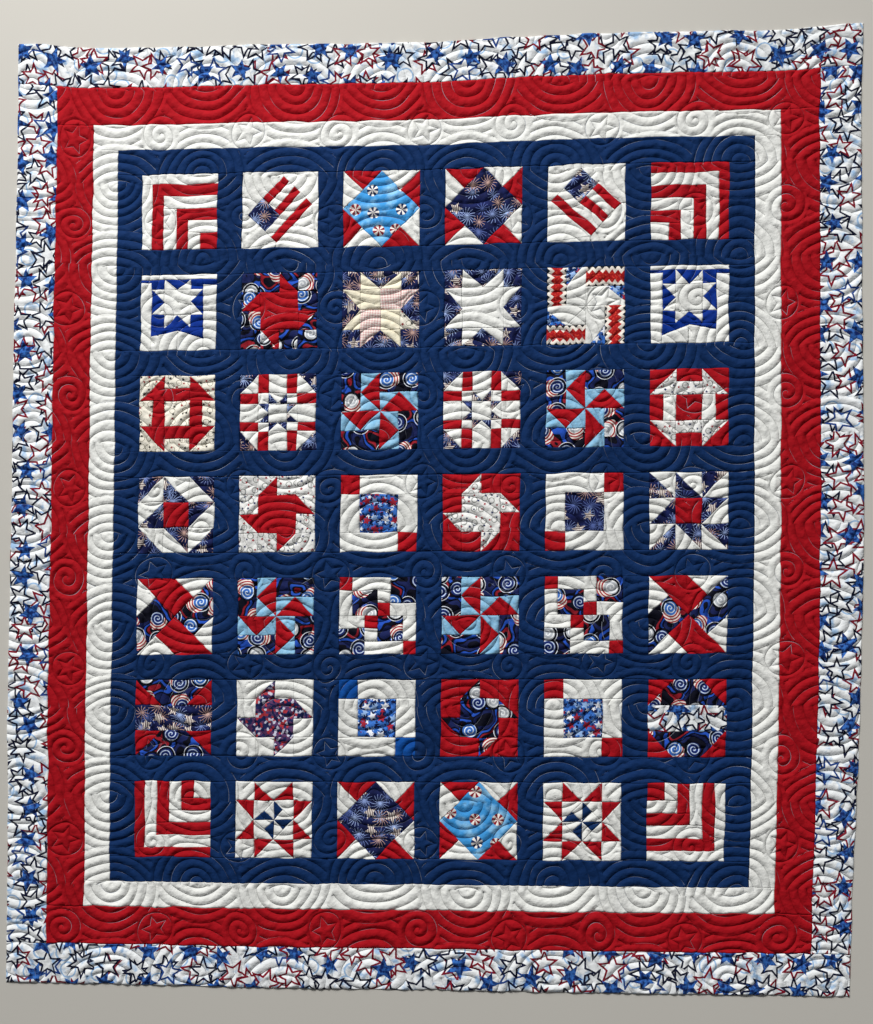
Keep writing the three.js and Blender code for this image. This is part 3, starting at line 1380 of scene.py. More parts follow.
@dataclass(frozen=True)
class Quilting:
    """Machine quilting in rows of fans with stars and curls between them.

    One row of fans stands on each line and one hangs from the next. Shallow arcs fill in behind
    the fans, and waves run through what is left. Each row of the fan table holds where a fan is
    centred, in half repeats across and rows along, how far past the row, and its reach. A crease
    is its reach to each side and its depth. All sizes are in millimetres.
    """

    repeat: float = 14 * INCH
    row: float = 7 * INCH
    spacing: float = 18.0
    fans: tuple[tuple[int, int, float, float], ...] = (
        (0, 1, 48.0, 126.0),
        (1, 0, -48.0, 126.0),
        (1, 1, 0.0, 98.0),
        (0, 0, 0.0, 98.0),
    )
    swing: float = 39.0
    wave_squeeze: float = 0.85
    motif_reach: float = 40.0
    ring: float = 34.0
    star: float = 27.0
    star_slant: float = math.radians(66)
    curl: float = 17.0
    wander: float = 7.0
    wander_length: float = 430.0
    jitter: float = 1.6
    jitter_length: float = 120.0
    start: Point = (105.0, 32.0)
    thread: str = "#a9b0bf"
    thread_half: float = 0.4
    thread_patch: float = 60.0
    thread_levels: tuple[float, float] = (4.0, -2.0)
    pucker_size: float = 11.0
    pucker: float = 2.2
    weave_size: float = 2.0
    weave: float = 0.16
    stitch_crease: tuple[float, float] = (1.2, 1.3)
    seam_crease: tuple[float, float] = (1.2, 0.02)

    def pattern(self, u: np.ndarray, v: np.ndarray) -> tuple[np.ndarray, np.ndarray]:
        """Places in the quilting's own layout, which wanders a little over the quilt.

        Args:
            u: Places across the squared-up quilt.
            v: Places up it.

        Returns:
            Places across and along the layout.
        """
        across = u + self.start[0] + self.wander * sway(u, v, self.wander_length, 11)
        across += self.jitter * sway(u, v, self.jitter_length, 12)
        along = v + self.start[1] + self.wander * sway(u, v, self.wander_length, 13)
        along += self.jitter * sway(u, v, self.jitter_length, 14)
        return across, along

    def distance(self, across: np.ndarray, along: np.ndarray) -> np.ndarray:
        """Distance from the nearest line of stitching.

        In a fan it is the distance from the nearest of its evenly spaced arcs, between fans from
        the nearest wave, and in a motif from its ring and star or from its spiral.

        Args:
            across: Places across the layout.
            along: Places along the layout.

        Returns:
            Distances in millimetres.
        """
        half = self.spacing / 2
        x = fold(across, self.repeat / 2)
        y = along % self.row
        wave = y - self.row / 2 - self.swing * np.cos(2 * np.pi * x / self.repeat)
        near = self.wave_squeeze * fold(wave, half)
        for columns, rows, past, reach in self.fans:
            arc = np.hypot(x - columns * self.repeat / 2, y - rows * self.row - past)
            near = np.where(arc < reach, fold(arc, half), near)
        dx, dy = x - self.repeat / 4, y - self.row / 2
        radius, angle = np.hypot(dx, dy), np.arctan2(dy, dx)
        slant = np.cos(fold(angle, math.pi / 5) - self.star_slant)
        edge = np.abs(radius * slant - self.star * math.cos(self.star_slant))
        ringed = np.minimum(np.abs(radius - self.ring), edge)
        curled = fold(radius - self.curl * angle / (2 * np.pi), self.curl / 2)
        odd = (np.floor(across / (self.repeat / 2)) + np.floor(along / self.row)) % 2 > 0.5
        return np.where(radius < self.motif_reach, np.where(odd, curled, ringed), near)

    def group(self) -> bpy.types.NodeTree:
        """Wire the same distance as nodes, with the creases and the thread along the lines.

        Returns:
            A node group that gives the fine relief in millimetres and the share of thread.
        """
        tree = bpy.data.node_groups.new("machine_quilting", "ShaderNodeTree")
        bench = Bench(tree)
        tree.interface.new_socket("Relief", in_out="OUTPUT", socket_type="NodeSocketFloat")
        tree.interface.new_socket("Thread", in_out="OUTPUT", socket_type="NodeSocketFloat")
        place = bench.add(ATTRIBUTE, attribute_name="stitch")
        spot = bench.add(PARTS, (place.outputs["Vector"],))
        across, along, seam = spot.outputs["X"], spot.outputs["Y"], spot.outputs["Z"]
        near = self.wire_distance(bench, across, along)
        crease = self.wire_creases(bench, near, seam)
        line = bench.add(MATH, (near, self.thread_half), operation="LESS_THAN")
        where = bench.add("ShaderNodeTexCoord").outputs["Object"]
        feeds = {"Vector": where, "Scale": METRE / self.thread_patch, "Detail": 2.0}
        patchy = bench.add(NOISE, feeds)
        levels = (patchy, *self.thread_levels)
        showing = bench.add(MATH, levels, operation="MULTIPLY_ADD", use_clamp=True)
        thread = bench.add(MATH, (line, showing), operation="MULTIPLY")
        bench.add("NodeGroupOutput", {"Relief": crease, "Thread": thread})
        return tree

    def wire_distance(self, bench: Bench, across: Feed, along: Feed) -> Feed:
        """Wire the distance from the nearest stitching as `distance` works it out.

        Args:
            bench: Tree to wire.
            across: Place across the layout.
            along: Place along the layout.

        Returns:
            Distance in millimetres.
        """
        half = self.spacing / 2
        x = bench.add(MATH, (across, self.repeat / 2), operation="PINGPONG")
        y = bench.add(MATH, (along, self.row), operation="FLOORED_MODULO")
        spot = bench.add("ShaderNodeCombineXYZ", (x, y, 0.0))
        phase = bench.add(MATH, (x, 2 * math.pi / self.repeat), operation="MULTIPLY")
        cosine = bench.add(MATH, (phase,), operation="COSINE")
        level = bench.add(MATH, (cosine, -self.swing, y), operation="MULTIPLY_ADD")
        level = bench.add(MATH, (level, self.row / 2), operation="SUBTRACT")
        wave = bench.add(MATH, (level, half), operation="PINGPONG")
        near = bench.add(MATH, (wave, self.wave_squeeze), operation="MULTIPLY")
        for columns, rows, past, reach in self.fans:
            centre = (columns * self.repeat / 2, rows * self.row + past, 0.0)
            arc = bench.add(VECTOR, (spot, centre), operation="DISTANCE")
            inside = bench.add(MATH, (arc, reach), operation="LESS_THAN")
            arc = bench.add(MATH, (arc, half), operation="PINGPONG")
            near = bench.add(MIX, (inside, near, arc))
        offset = bench.add(VECTOR, (spot, (self.repeat / 4, self.row / 2, 0)), operation="SUBTRACT")
        radius, angle = polar(bench, offset)
        tip = bench.add(MATH, (angle, math.pi / 5), operation="PINGPONG")
        lean = bench.add(MATH, (tip, self.star_slant), operation="SUBTRACT")
        slant = bench.add(MATH, (lean,), operation="COSINE")
        limit = -self.star * math.cos(self.star_slant)
        edge = bench.add(MATH, (radius, slant, limit), operation="MULTIPLY_ADD")
        edge = bench.add(MATH, (edge,), operation="ABSOLUTE")
        ring = bench.add(MATH, (radius, self.ring), operation="SUBTRACT")
        ring = bench.add(MATH, (ring,), operation="ABSOLUTE")
        ringed = bench.add(MATH, (ring, edge), operation="MINIMUM")
        wound = bench.add(MATH, (angle, -self.curl / (2 * math.pi), radius), operation="MULTIPLY_ADD")
        curled = bench.add(MATH, (wound, self.curl / 2), operation="PINGPONG")
        column = bench.add(MATH, (across, 2 / self.repeat), operation="MULTIPLY")
        column = bench.add(MATH, (column,), operation="FLOOR")
        line = bench.add(MATH, (along, 1 / self.row), operation="MULTIPLY")
        line = bench.add(MATH, (line,), operation="FLOOR")
        total = bench.add(MATH, (column, line), operation="ADD")
        odd = bench.add(MATH, (total, 2.0), operation="FLOORED_MODULO")
        motif = bench.add(MIX, (odd, ringed, curled))
        inside = bench.add(MATH, (radius, self.motif_reach), operation="LESS_THAN")
        return bench.add(MIX, (inside, near, motif))

    def wire_creases(self, bench: Bench, near: Feed, seam: Feed) -> Feed:
        """Wire the fine relief: creases at stitches and seams, puckers and coarse weave.

        The weave is drawn at about 2 mm, because a real one of 0.4 mm would not show.

        Args:
            bench: Tree to wire.
            near: Distance from the nearest stitching.
            seam: Distance from the nearest seam.

        Returns:
            Relief in millimetres.
        """
        where = bench.add("ShaderNodeTexCoord").outputs["Object"]
        feeds = {"Vector": where, "Scale": METRE / self.pucker_size, "Detail": 2.0}
        pucker = bench.add(NOISE, feeds)
        relief = bench.add(MATH, (pucker, self.pucker), operation="MULTIPLY")
        feeds = {"Vector": where, "Scale": METRE / self.weave_size, "Detail": 1.0}
        weave = bench.add(NOISE, feeds)
        relief = bench.add(MATH, (weave, self.weave, relief), operation="MULTIPLY_ADD")
        for distance, (reach, depth) in ((near, self.stitch_crease), (seam, self.seam_crease)):
            fall = bench.add(MATH, (distance, -1 / reach), operation="MULTIPLY")
            ditch = bench.add(MATH, (fall,), operation="EXPONENT")
            relief = bench.add(MATH, (ditch, -depth, relief), operation="MULTIPLY_ADD")
        return relief


class Wardrobe:
    """The cottons as materials, each made once when first asked for.

    The dye is how far a patch's chance moves the strength of its colour, and the least strength.
    The nap's size is in millimetres.
    """

    DYE = (0.14, 0.93)
    NAP_SIZE = 20.0
    SHINE = 0.1

    def __init__(self, quilting: Quilting) -> None:
        """Wire the quilting that all cottons share.

        Args:
            quilting: The quilting to wire.
        """
        self.quilting = quilting
        self.relief = quilting.group()
        self.made: dict[Fabric, bpy.types.Material] = {}

    def cotton(self, fabric: Fabric) -> bpy.types.Material:
        """Give a fabric's material: quilting-weight cotton, plain woven and matt.

        The eye sees deep even dye with next to no shine. The dye differs from patch to patch.

        Args:
            fabric: The cotton wanted.

        Returns:
            Its material.
        """
        if fabric in self.made:
            return self.made[fabric]
        material = bpy.data.materials.new(f"cotton_{fabric.name.lower()}")
        material.use_nodes = True
        bench = Bench(material.node_tree)
        finish = FINISHES[fabric]
        cut = bench.add(ATTRIBUTE, attribute_name="cut").outputs["Vector"]
        tone = finish.ink(bench, cut)
        dye = bench.add(ATTRIBUTE, attribute_name="dye").outputs["Fac"]
        strength = bench.add(MATH, (dye, *self.DYE), operation="MULTIPLY_ADD")
        tone = bench.add(VECTOR, (tone, strength), operation="SCALE")
        quilted = bench.add("ShaderNodeGroup", node_tree=self.relief)
        thread = linear(self.quilting.thread)
        tone = bench.add(MIX, (quilted.outputs["Thread"], tone, thread), data_type="RGBA")
        bump = bench.add("ShaderNodeBump", {"Distance": 1 / METRE, "Height": quilted.outputs["Relief"]})
        where = bench.add("ShaderNodeTexCoord").outputs["Object"]
        nap = bench.add(NOISE, {"Vector": where, "Scale": METRE / self.NAP_SIZE})
        low, high = finish.roughness
        rough = bench.add(MATH, (nap, high - low, low), operation="MULTIPLY_ADD")
        feeds = {
            "Base Color": tone,
            "Roughness": rough,
            "Specular IOR Level": self.SHINE,
            "Normal": bump,
        }
        shader = bench.add("ShaderNodeBsdfPrincipled", feeds)
        bench.add("ShaderNodeOutputMaterial", (shader,))
        self.made[fabric] = material
        return material


@dataclass(frozen=True)
class FlatGrid:
    """Points and faces of one flat patch, with the points along each of its edges in order."""

    points: np.ndarray
    faces: np.ndarray
    rims: tuple[np.ndarray, ...]


def stations(start: float, length: float, hem_first: bool, hem_last: bool) -> np.ndarray:
    """Shares along an edge at whole steps from the quilt's middle, closer together next to a hem.

    Args:
        start: Place of the edge's first end along its own direction, in millimetres.
        length: Length of the edge.
        hem_first: Whether the start is a turned edge.
        hem_last: Whether the end is one.

    Returns:
        Shares from 0 to 1.
    """
    steps = np.arange(math.ceil(start / FACE_STEP), math.floor((start + length) / FACE_STEP) + 1)
    places = steps * FACE_STEP - start
    first = HEM_STEPS if hem_first else HEM_STEPS[:1]
    last = length - (HEM_STEPS[::-1] if hem_last else HEM_STEPS[:1])
    inner = places[(places > first[-1] + SPARE_STEP) & (places < last[0] - SPARE_STEP)]
    return np.concatenate((first, inner, last)) / length


def four_sided(corners: np.ndarray, hems: Sequence[bool]) -> FlatGrid:
    """Grid of a four-sided patch: a straight blend between opposite edges.

    Args:
        corners: Corners, anticlockwise.
        hems: Which edges are turned edges.

    Returns:
        The grid.
    """
    a, b, c, d = corners
    width, depth = np.linalg.norm(b - a), np.linalg.norm(d - a)
    s = stations(a @ (b - a) / width, width, hems[3], hems[1])[None, :, None]
    t = stations(a @ (d - a) / depth, depth, hems[0], hems[2])[:, None, None]
    points = (1 - s) * (1 - t) * a + s * (1 - t) * b + s * t * c + (1 - s) * t * d
    number = np.arange(points.shape[0] * points.shape[1]).reshape(points.shape[:2])
    faces = np.stack((number[:-1, :-1], number[:-1, 1:], number[1:, 1:], number[1:, :-1]), axis=-1)
    rims = (number[0], number[:, -1], number[-1, ::-1], number[::-1, 0])
    return FlatGrid(points.reshape(-1, 2), faces.reshape(-1, 4), rims)


def three_sided(corners: np.ndarray) -> FlatGrid:
    """Grid of a three-sided patch: rows of points parallel to its first edge.

    Args:
        corners: Corners, anticlockwise.

    Returns:
        The grid.
    """
    a, b, c = corners
    longest = max(np.linalg.norm(b - a), np.linalg.norm(c - b), np.linalg.norm(a - c))
    count = max(2, math.ceil(longest * TRIANGLE_SHARE / FACE_STEP))
    row, place = np.meshgrid(np.arange(count + 1), np.arange(count + 1), indexing="ij")
    inside = row + place <= count
    number = np.full(row.shape, -1)
    number[inside] = np.arange(inside.sum())
    up, along = row[inside][:, None] / count, place[inside][:, None] / count
    points = a + along * (b - a) + up * (c - a)
    upright = np.stack((number[:-1, :-1], number[:-1, 1:], number[1:, :-1]), axis=-1)
    hanging = np.stack((number[:-1, 1:], number[1:, 1:], number[1:, :-1]), axis=-1)
    faces = np.concatenate((upright.reshape(-1, 3), hanging.reshape(-1, 3)))
    faces = faces[(faces >= 0).all(axis=1)]
    last = np.arange(count + 1)
    rims = (number[0], number[last, count - last], number[::-1, 0])
    return FlatGrid(points, faces, rims)


@dataclass(frozen=True)
class QuiltFace:
    """The quilt's upper face: how it lies, how it puffs and where it dips."""

    lay: Lay
    quilting: Quilting
    stitch_height: float = 2.5
    loft: float = 4.5
    loft_reach: float = 3.8
    loft_round: float = 1.0
    loft_shares: tuple[float, float] = (0.86, 0.14)
    loft_length: float = 150.0
    seam_dip: float = 0.05
    seam_reach: float = 2.6
    hem_height: float = 1.1
    hem_round: float = 9.0
    ripple: float = 0.65
    ripple_length: float = 19.0
    swell: float = 0.5
    swell_length: float = 260.0
    underside: float = 0.25

    def raised(self, u: np.ndarray, v: np.ndarray, seam: np.ndarray) -> tuple[np.ndarray, np.ndarray]:
        """Lift flat points to the quilted face.

        The height climbs from the stitching towards full loft as one less a falling exponential
        of the distance. It dips by a falling exponential of the distance from a seam, swells and
        ripples by smooth fields, and rounds down as a quarter circle to the turned edge.

        Args:
            u: Places across the squared-up quilt.
            v: Places up it.
            seam: Distance from the nearest seam.

        Returns:
            Points in metres, and places in the quilting's layout with the seam distance.
        """
        across, along = self.quilting.pattern(u, v)
        near = self.quilting.distance(across, along)
        eased = np.hypot(near, self.loft_round) - self.loft_round
        puff = 1 - np.exp(-eased / self.loft_reach)
        even, uneven = self.loft_shares
        fullness = even + uneven * sway(u, v, self.loft_length, 21)
        height = self.stitch_height + self.loft * puff * fullness
        ripples = self.ripple * puff * sway(u, v, self.ripple_length, 22)
        height += ripples + self.swell * sway(u, v, self.swell_length, 23)
        height -= self.seam_dip * np.exp(-seam / self.seam_reach)
        edge = np.minimum(HALF_WIDTH - np.abs(u), HALF_LENGTH - np.abs(v))
        share = np.clip(edge / self.hem_round, 0, 1)
        height = self.hem_height + (height - self.hem_height) * np.sqrt(1 - (1 - share) ** 2)
        x, y = self.lay.spread(u, v)
        return np.stack((x, y, height), axis=-1) / METRE, np.stack((across, along, seam), axis=-1)


class PanelMesh:
    """Gathers the raised patches of one sewn panel into one mesh.

    Prints are cut askew by a chance tilt in radians, and up to a reach in millimetres from their
    middle, but a centred one is cut along its middle. Each map holds a start and a length on the
    unit square.
    """

    CENTRED = (Fabric.ZIGZAG,)
    TILT = 0.12
    CUT_REACH = 2000.0
    NO_SEAM = 99.0
    MAP_ACROSS = (0.005, 0.99)
    MAP_FACE = (0.04, 0.955)
    MAP_UNDER = (0.005, 0.02)

    def __init__(self, face: QuiltFace, seed: int) -> None:
        """Start an empty panel.

        Args:
            face: The quilt's upper face.
            seed: Seed for the cutting of the prints.
        """
        self.face = face
        self.chance = np.random.default_rng(seed)
        self.points: list[np.ndarray] = []
        self.stitch: list[np.ndarray] = []
        self.cut: list[np.ndarray] = []
        self.dye: list[np.ndarray] = []
        self.loops: list[np.ndarray] = []
        self.sizes: list[np.ndarray] = []
        self.smooth: list[np.ndarray] = []
        self.fabrics: list[Fabric] = []
        self.fabric_counts: list[int] = []
        self.total = 0

    def add(self, patch: Patch) -> None:
        """Add one patch as a closed pillow: its raised face, upright walls and flat underside.

        Args:
            patch: The patch, with corners in millimetres on the squared-up quilt.
        """
        corners = np.array(patch.corners, dtype=float)
        count = len(corners)
        blind = set(patch.blind)
        ends = np.roll(corners, -1, axis=0)
        area = np.sum(corners[:, 0] * ends[:, 1] - ends[:, 0] * corners[:, 1])
        if area < 0:
            corners = corners[::-1]
            blind = {(count - 2 - k) % count for k in blind}
            ends = np.roll(corners, -1, axis=0)
        at_side = np.isclose(np.abs(corners[:, 0]), HALF_WIDTH) & np.isclose(corners[:, 0], ends[:, 0])
        at_end = np.isclose(np.abs(corners[:, 1]), HALF_LENGTH) & np.isclose(corners[:, 1], ends[:, 1])
        hems = at_side | at_end
        grid = four_sided(corners, hems) if count == 4 else three_sided(corners)
        run = ends - corners
        inward = np.stack((-run[:, 1], run[:, 0]), axis=-1) / np.linalg.norm(run, axis=1)[:, None]
        sewn = [k for k in range(count) if k not in blind and not hems[k]]
        outline = np.concatenate([rim[:-1] for rim in grid.rims])
        flat = np.concatenate((grid.points, grid.points[outline]))
        gaps = [(flat - corners[k]) @ inward[k] for k in sewn] or [np.full(len(flat), self.NO_SEAM)]
        seam = np.maximum(np.min(gaps, axis=0), 0)
        raised, stitch = self.face.raised(flat[:, 0], flat[:, 1], seam)
        raised[len(grid.points):, 2] = self.face.underside / METRE
        self.keep(patch, grid, raised, stitch, flat - corners.mean(axis=0))

    def keep(
        self, patch: Patch, grid: FlatGrid, raised: np.ndarray, stitch: np.ndarray, local: np.ndarray
    ) -> None:
        """Store a raised patch with its faces, walls and cloth places.

        Args:
            patch: The patch.
            grid: Its flat grid.
            raised: Points of the face and then of the underside's outline.
            stitch: Places in the quilting's layout.
            local: Places from the patch's middle, in millimetres.
        """
        above = np.concatenate([rim[:-1] for rim in grid.rims])
        under = np.arange(len(grid.points), len(raised))
        walls = np.stack((under, np.roll(under, -1), np.roll(above, -1), above), axis=-1)
        loops = np.concatenate((grid.faces.ravel(), walls.ravel(), under[::-1]))
        shapes = ((len(grid.faces), grid.faces.shape[1]), (len(walls), 4), (1, len(under)))
        sizes = np.concatenate([np.full(number, corners) for number, corners in shapes])
        turn = math.radians(patch.turn)
        shift = np.zeros(2)
        if patch.fabric not in self.CENTRED:
            turn += self.chance.integers(0, 4) * math.pi / 2 + self.chance.uniform(-self.TILT, self.TILT)
            shift = self.chance.uniform(-self.CUT_REACH, self.CUT_REACH, 2)
        spin = np.array(((math.cos(turn), math.sin(turn)), (-math.sin(turn), math.cos(turn))))
        cut = np.zeros((len(raised), 3))
        cut[:, :2] = local @ spin.T + shift
        self.points.append(raised)
        self.stitch.append(stitch)
        self.cut.append(cut)
        self.dye.append(np.full(len(raised), self.chance.uniform()))
        self.loops.append(loops + self.total)
        self.sizes.append(sizes)
        self.smooth.append(np.arange(len(sizes)) < len(grid.faces))
        self.fabrics += (patch.fabric, Fabric.BACKING)
        self.fabric_counts += (len(sizes) - 1, 1)
        self.total += len(raised)

    def flat_map(self, points: np.ndarray, loops: np.ndarray, sizes: np.ndarray) -> np.ndarray:
        """Map the panel seen from above onto the unit square, with walls and underside in a strip.

        Args:
            points: Points of the panel.
            loops: Point of each face corner.
            sizes: Corners of each face.

        Returns:
            One place in the square for each face corner.
        """
        low, high = points[:, :2].min(axis=0), points[:, :2].max(axis=0)
        share = ((points[:, :2] - low) / (high - low))[loops]
        upper = np.repeat(np.concatenate(self.smooth), sizes)
        across, along = share[:, 0], share[:, 1]
        face = self.MAP_FACE[0] + self.MAP_FACE[1] * along
        under = self.MAP_UNDER[0] + self.MAP_UNDER[1] * along
        across = self.MAP_ACROSS[0] + self.MAP_ACROSS[1] * across
        return np.stack((across, np.where(upper, face, under)), axis=-1)

    def build(self, name: str, wardrobe: Wardrobe) -> bpy.types.Object:
        """Put the gathered patches into a Blender object and dress it.

        Args:
            name: Name of the object.
            wardrobe: Source of the materials.

        Returns:
            The linked object.
        """
        points = np.concatenate(self.points)
        loops = np.concatenate(self.loops)
        sizes = np.concatenate(self.sizes)
        mesh = bpy.data.meshes.new(name)
        mesh.vertices.add(len(points))
        mesh.vertices.foreach_set("co", points.astype(np.float32).ravel())
        mesh.loops.add(len(loops))
        mesh.loops.foreach_set("vertex_index", loops.astype(np.int32))
        mesh.polygons.add(len(sizes))
        mesh.polygons.foreach_set("loop_start", (np.cumsum(sizes) - sizes).astype(np.int32))
        used = list(dict.fromkeys(self.fabrics))
        for fabric in used:
            mesh.materials.append(wardrobe.cotton(fabric))
        slots = np.repeat([used.index(fabric) for fabric in self.fabrics], self.fabric_counts)
        mesh.polygons.foreach_set("material_index", slots.astype(np.int32))
        mesh.polygons.foreach_set("use_smooth", np.concatenate(self.smooth))
        for title, kind, values in (
            ("cut", "FLOAT_VECTOR", self.cut),
            ("stitch", "FLOAT_VECTOR", self.stitch),
            ("dye", "FLOAT", self.dye),
        ):
            layer = mesh.attributes.new(title, kind, "POINT")
            field = "vector" if kind == "FLOAT_VECTOR" else "value"
            layer.data.foreach_set(field, np.concatenate(values).astype(np.float32).ravel())
        layer = mesh.uv_layers.new(name="OFBake")
        places = self.flat_map(points, loops, sizes)
        layer.uv.foreach_set("vector", places.astype(np.float32).ravel())
        mesh.update(calc_edges=True)
        mesh.validate()
        piece = bpy.data.objects.new(name, mesh)
        bpy.context.collection.objects.link(piece)
        return piece


@dataclass(frozen=True)
class Panel(ABC):
    """One sewn row or strip of the quilt, standing in for one solid of the frame."""

    face: QuiltFace
    wardrobe: Wardrobe

    @abstractmethod
    def node(self) -> str:
        """Name of the solid that this panel stands in for."""

    @abstractmethod
    def slot(self) -> str:
        """Name of the cloth that the panel counts as."""

    @abstractmethod
    def span(self) -> tuple[float, float, float, float]:
        """Left, lower, right and upper seam, in millimetres."""

    @abstractmethod
    def patches(self) -> list[Patch]:
        """The panel's patches, with corners in millimetres."""

    def build(self, seed: int) -> bpy.types.Object:
        """Args:
            seed: Seed for the cutting of its prints.

        Returns:
            The finished piece.
        """
        mesh = PanelMesh(self.face, seed)
        for patch in self.patches():
            mesh.add(patch)
        piece = mesh.build(f"cloth_{self.node()}", self.wardrobe)
        left, low, right, high = self.span()
        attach(piece, "root")
        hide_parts(self.node())
        self.slot()
        return piece


@dataclass(frozen=True)
class BlockRow(Panel):
    """A row of six pieced blocks with short sashing strips between and beside them."""

    number: int
    blocks: tuple[list[Patch], ...]

    def node(self) -> str:
        """Name of the solid."""
        return f"block_row_{self.number}"

    def slot(self) -> str:
        """Cloth name."""
        return "patchwork_cotton"

    def span(self) -> tuple[float, float, float, float]:
        """The row's seams."""
        high = FIELD_LENGTH / 2 - SASHING - (self.number - 1) * (BLOCK + SASHING)
        return -FIELD_WIDTH / 2, high - BLOCK, FIELD_WIDTH / 2, high

    def patches(self) -> list[Patch]:
        """The blocks' patches, carried to their places, and the sashing.

        Returns:
            The sashing's patches, then the blocks' from left to right.
        """
        left, low, _, high = self.span()
        made = []
        for column in range(COLUMNS + 1):
            start = left + column * (BLOCK + SASHING)
            made += rect("N", start, low, start + SASHING, high)
        for column, block in enumerate(self.blocks):
            start = left + SASHING + column * (BLOCK + SASHING)
            for patch in block:
                corners = tuple((start + x * BLOCK, high - y * BLOCK) for x, y in patch.corners)
                made.append(replace(patch, corners=corners))
        return made


@dataclass(frozen=True)
class SashingStrip(Panel):
    """A plain navy strip above or below a row of blocks."""

    number: int

    def node(self) -> str:
        """Name of the solid."""
        return f"sashing_{self.number}"

    def slot(self) -> str:
        """Cloth name."""
        return "navy_cotton"

    def span(self) -> tuple[float, float, float, float]:
        """The strip's seams."""
        high = FIELD_LENGTH / 2 - (self.number - 1) * (BLOCK + SASHING)
        return -FIELD_WIDTH / 2, high - SASHING, FIELD_WIDTH / 2, high

    def patches(self) -> list[Patch]:
        """One long patch."""
        return rect("N", *self.span())


@dataclass(frozen=True)
class BorderStrip(Panel):
    """One side of the white, the red or the star-printed border."""

    band: Band
    side: Side

    def node(self) -> str:
        """Name of the solid."""
        return f"{self.band.title}_border_{self.side.value}"

    def slot(self) -> str:
        """Cloth name."""
        return self.band.cloth

    def span(self) -> tuple[float, float, float, float]:
        """The strip's seams. Side strips end at the inner corners and end strips at the outer ones.

        Returns:
            Left, lower, right and upper seam, in millimetres.
        """
        bands = list(Band)
        inside = sum(band.width for band in bands[:bands.index(self.band)])
        width = self.band.width
        half, reach = FIELD_WIDTH / 2 + inside, FIELD_LENGTH / 2 + inside
        return {
            Side.LEFT: (-half - width, -reach, -half, reach),
            Side.RIGHT: (half, -reach, half + width, reach),
            Side.TOP: (-half - width, reach, half + width, reach + width),
            Side.BOTTOM: (-half - width, -reach - width, half + width, -reach),
        }[self.side]

    def patches(self) -> list[Patch]:
        """One long patch."""
        return rect(self.band.fabric.value, *self.span())


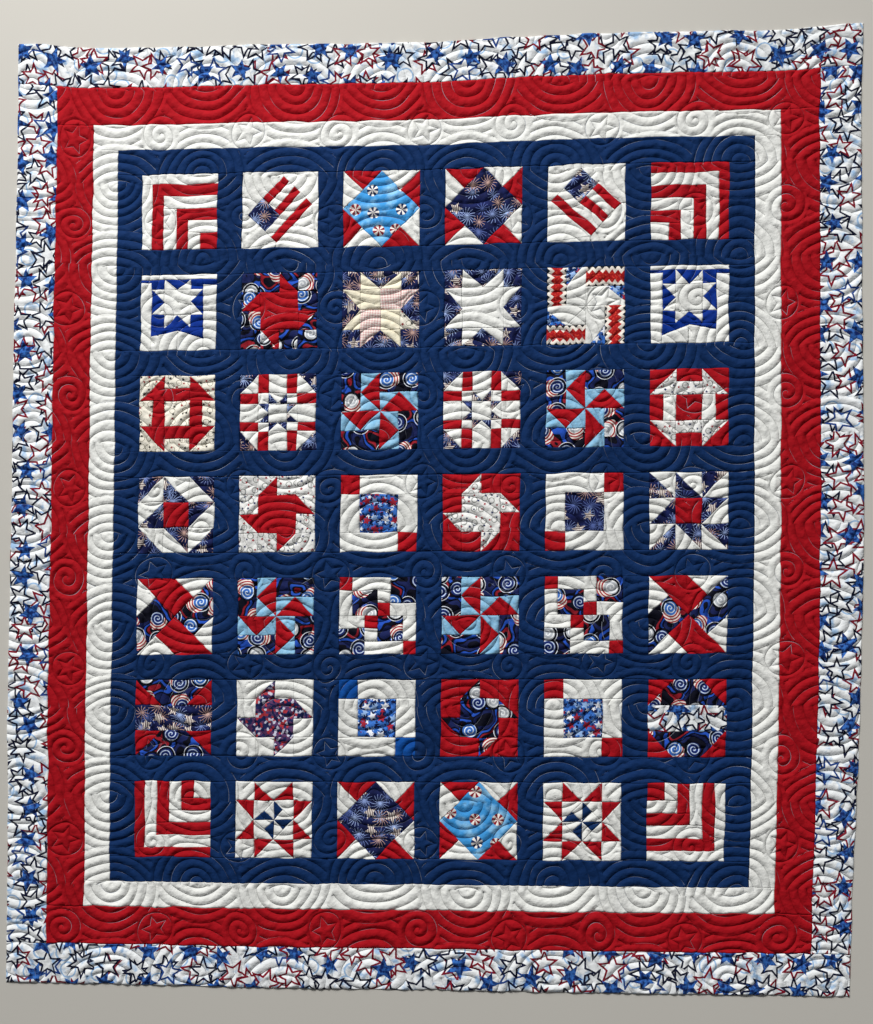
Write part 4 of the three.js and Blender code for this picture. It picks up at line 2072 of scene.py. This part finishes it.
@dataclass(frozen=True)
class Studio:
    """A pale floor, soft light from beyond the quilt's top edge and a camera almost straight above."""

    floor_half: float = 14.0
    floor_colour: str = "#cbc7be"
    floor_roughness: float = 0.9
    floor_shine: float = 0.2
    camera_place: tuple[float, float, float] = (0.1221, -0.0383, 2.4025)
    camera_turn: tuple[float, float, float] = (0.811, 2.626, -0.457)
    lens: float = 42.63
    sensor: float = 36.0
    key_from: tuple[float, float, float] = (-0.3, 1.0, 0.68)
    key_spread: float = 10.0
    key_power: float = 2.6
    window_place: tuple[float, float, float] = (-0.8, 2.1, 1.7)
    window_size: float = 1.2
    window_power: float = 36.0
    fill_colour: str = "#eef2f8"
    fill_strength: float = 0.11

    def floor(self) -> bpy.types.Object:
        """A flat floor with plain matt paint.

        Returns:
            The linked floor.
        """
        half = self.floor_half
        corners = ((-half, -half, 0), (half, -half, 0), (half, half, 0), (-half, half, 0))
        mesh = bpy.data.meshes.new("floor")
        mesh.from_pydata(corners, [], [(0, 1, 2, 3)])
        material = bpy.data.materials.new("floor_paint")
        material.use_nodes = True
        bench = Bench(material.node_tree)
        feeds = {
            "Base Color": linear(self.floor_colour),
            "Roughness": self.floor_roughness,
            "Specular IOR Level": self.floor_shine,
        }
        shader = bench.add("ShaderNodeBsdfPrincipled", feeds)
        bench.add("ShaderNodeOutputMaterial", (shader,))
        mesh.materials.append(material)
        floor = bpy.data.objects.new("floor", mesh)
        bpy.context.collection.objects.link(floor)
        return floor

    def lamp(self, kind: str, place: Sequence[float], **settings: float) -> None:
        """Hang a lamp that looks at the quilt's middle.

        Args:
            kind: Blender's type of lamp.
            place: Where it hangs.
            settings: Its size and power.
        """
        data = bpy.data.lights.new(f"lamp_{kind.lower()}", kind)
        for name, value in settings.items():
            setattr(data, name, value)
        lamp = bpy.data.objects.new(data.name, data)
        lamp.location = place
        lamp.rotation_euler = (-Vector(place)).to_track_quat("-Z", "Y").to_euler()
        bpy.context.collection.objects.link(lamp)

    def lights(self) -> None:
        """Even slanting light, a soft window beyond the top edge and a dim pale surround."""
        self.lamp("SUN", self.key_from, angle=math.radians(self.key_spread), energy=self.key_power)
        self.lamp("AREA", self.window_place, size=self.window_size, energy=self.window_power)
        bpy.context.scene.view_settings.view_transform = "Standard"
        world = bpy.data.worlds.new("surround")
        world.use_nodes = True
        bench = Bench(world.node_tree)
        sky = bench.add("ShaderNodeBackground", (linear(self.fill_colour), self.fill_strength))
        bench.add("ShaderNodeOutputWorld", (sky,))
        bpy.context.scene.world = world

    def camera(self) -> None:
        """A camera above the quilt, looking down with the quilt's top edge up."""
        data = bpy.data.cameras.new("camera")
        data.sensor_width = self.sensor
        data.lens = self.lens
        camera = bpy.data.objects.new("camera", data)
        turn = Vector(tuple(math.radians(angle) for angle in self.camera_turn))
        rotation = Matrix.Rotation(turn.length, 4, turn)
        camera.matrix_world = Matrix.Translation(self.camera_place) @ rotation
        bpy.context.collection.objects.link(camera)
        bpy.context.scene.camera = camera


def main() -> None:
    """Build the panels in order and light them."""
    logging.basicConfig(level=logging.INFO, format="%(name)s: %(message)s")
    quilting = Quilting()
    face = QuiltFace(Lay(), quilting)
    wardrobe = Wardrobe(quilting)
    panels: list[Panel] = [SashingStrip(face, wardrobe, k + 1) for k in range(ROWS + 1)]
    panels += [BlockRow(face, wardrobe, k + 1, row) for k, row in enumerate(Sampler().rows())]
    panels += [BorderStrip(face, wardrobe, band, side) for band in Band for side in Side]
    for seed, panel in enumerate(panels):
        piece = panel.build(seed)
        mesh = piece.data
        LOG.info("%s: %d points, %d faces", piece.name, len(mesh.vertices), len(mesh.polygons))
    studio = Studio()
    studio.floor()
    studio.lights()
    studio.camera()


if __name__ == "__main__":
    main()
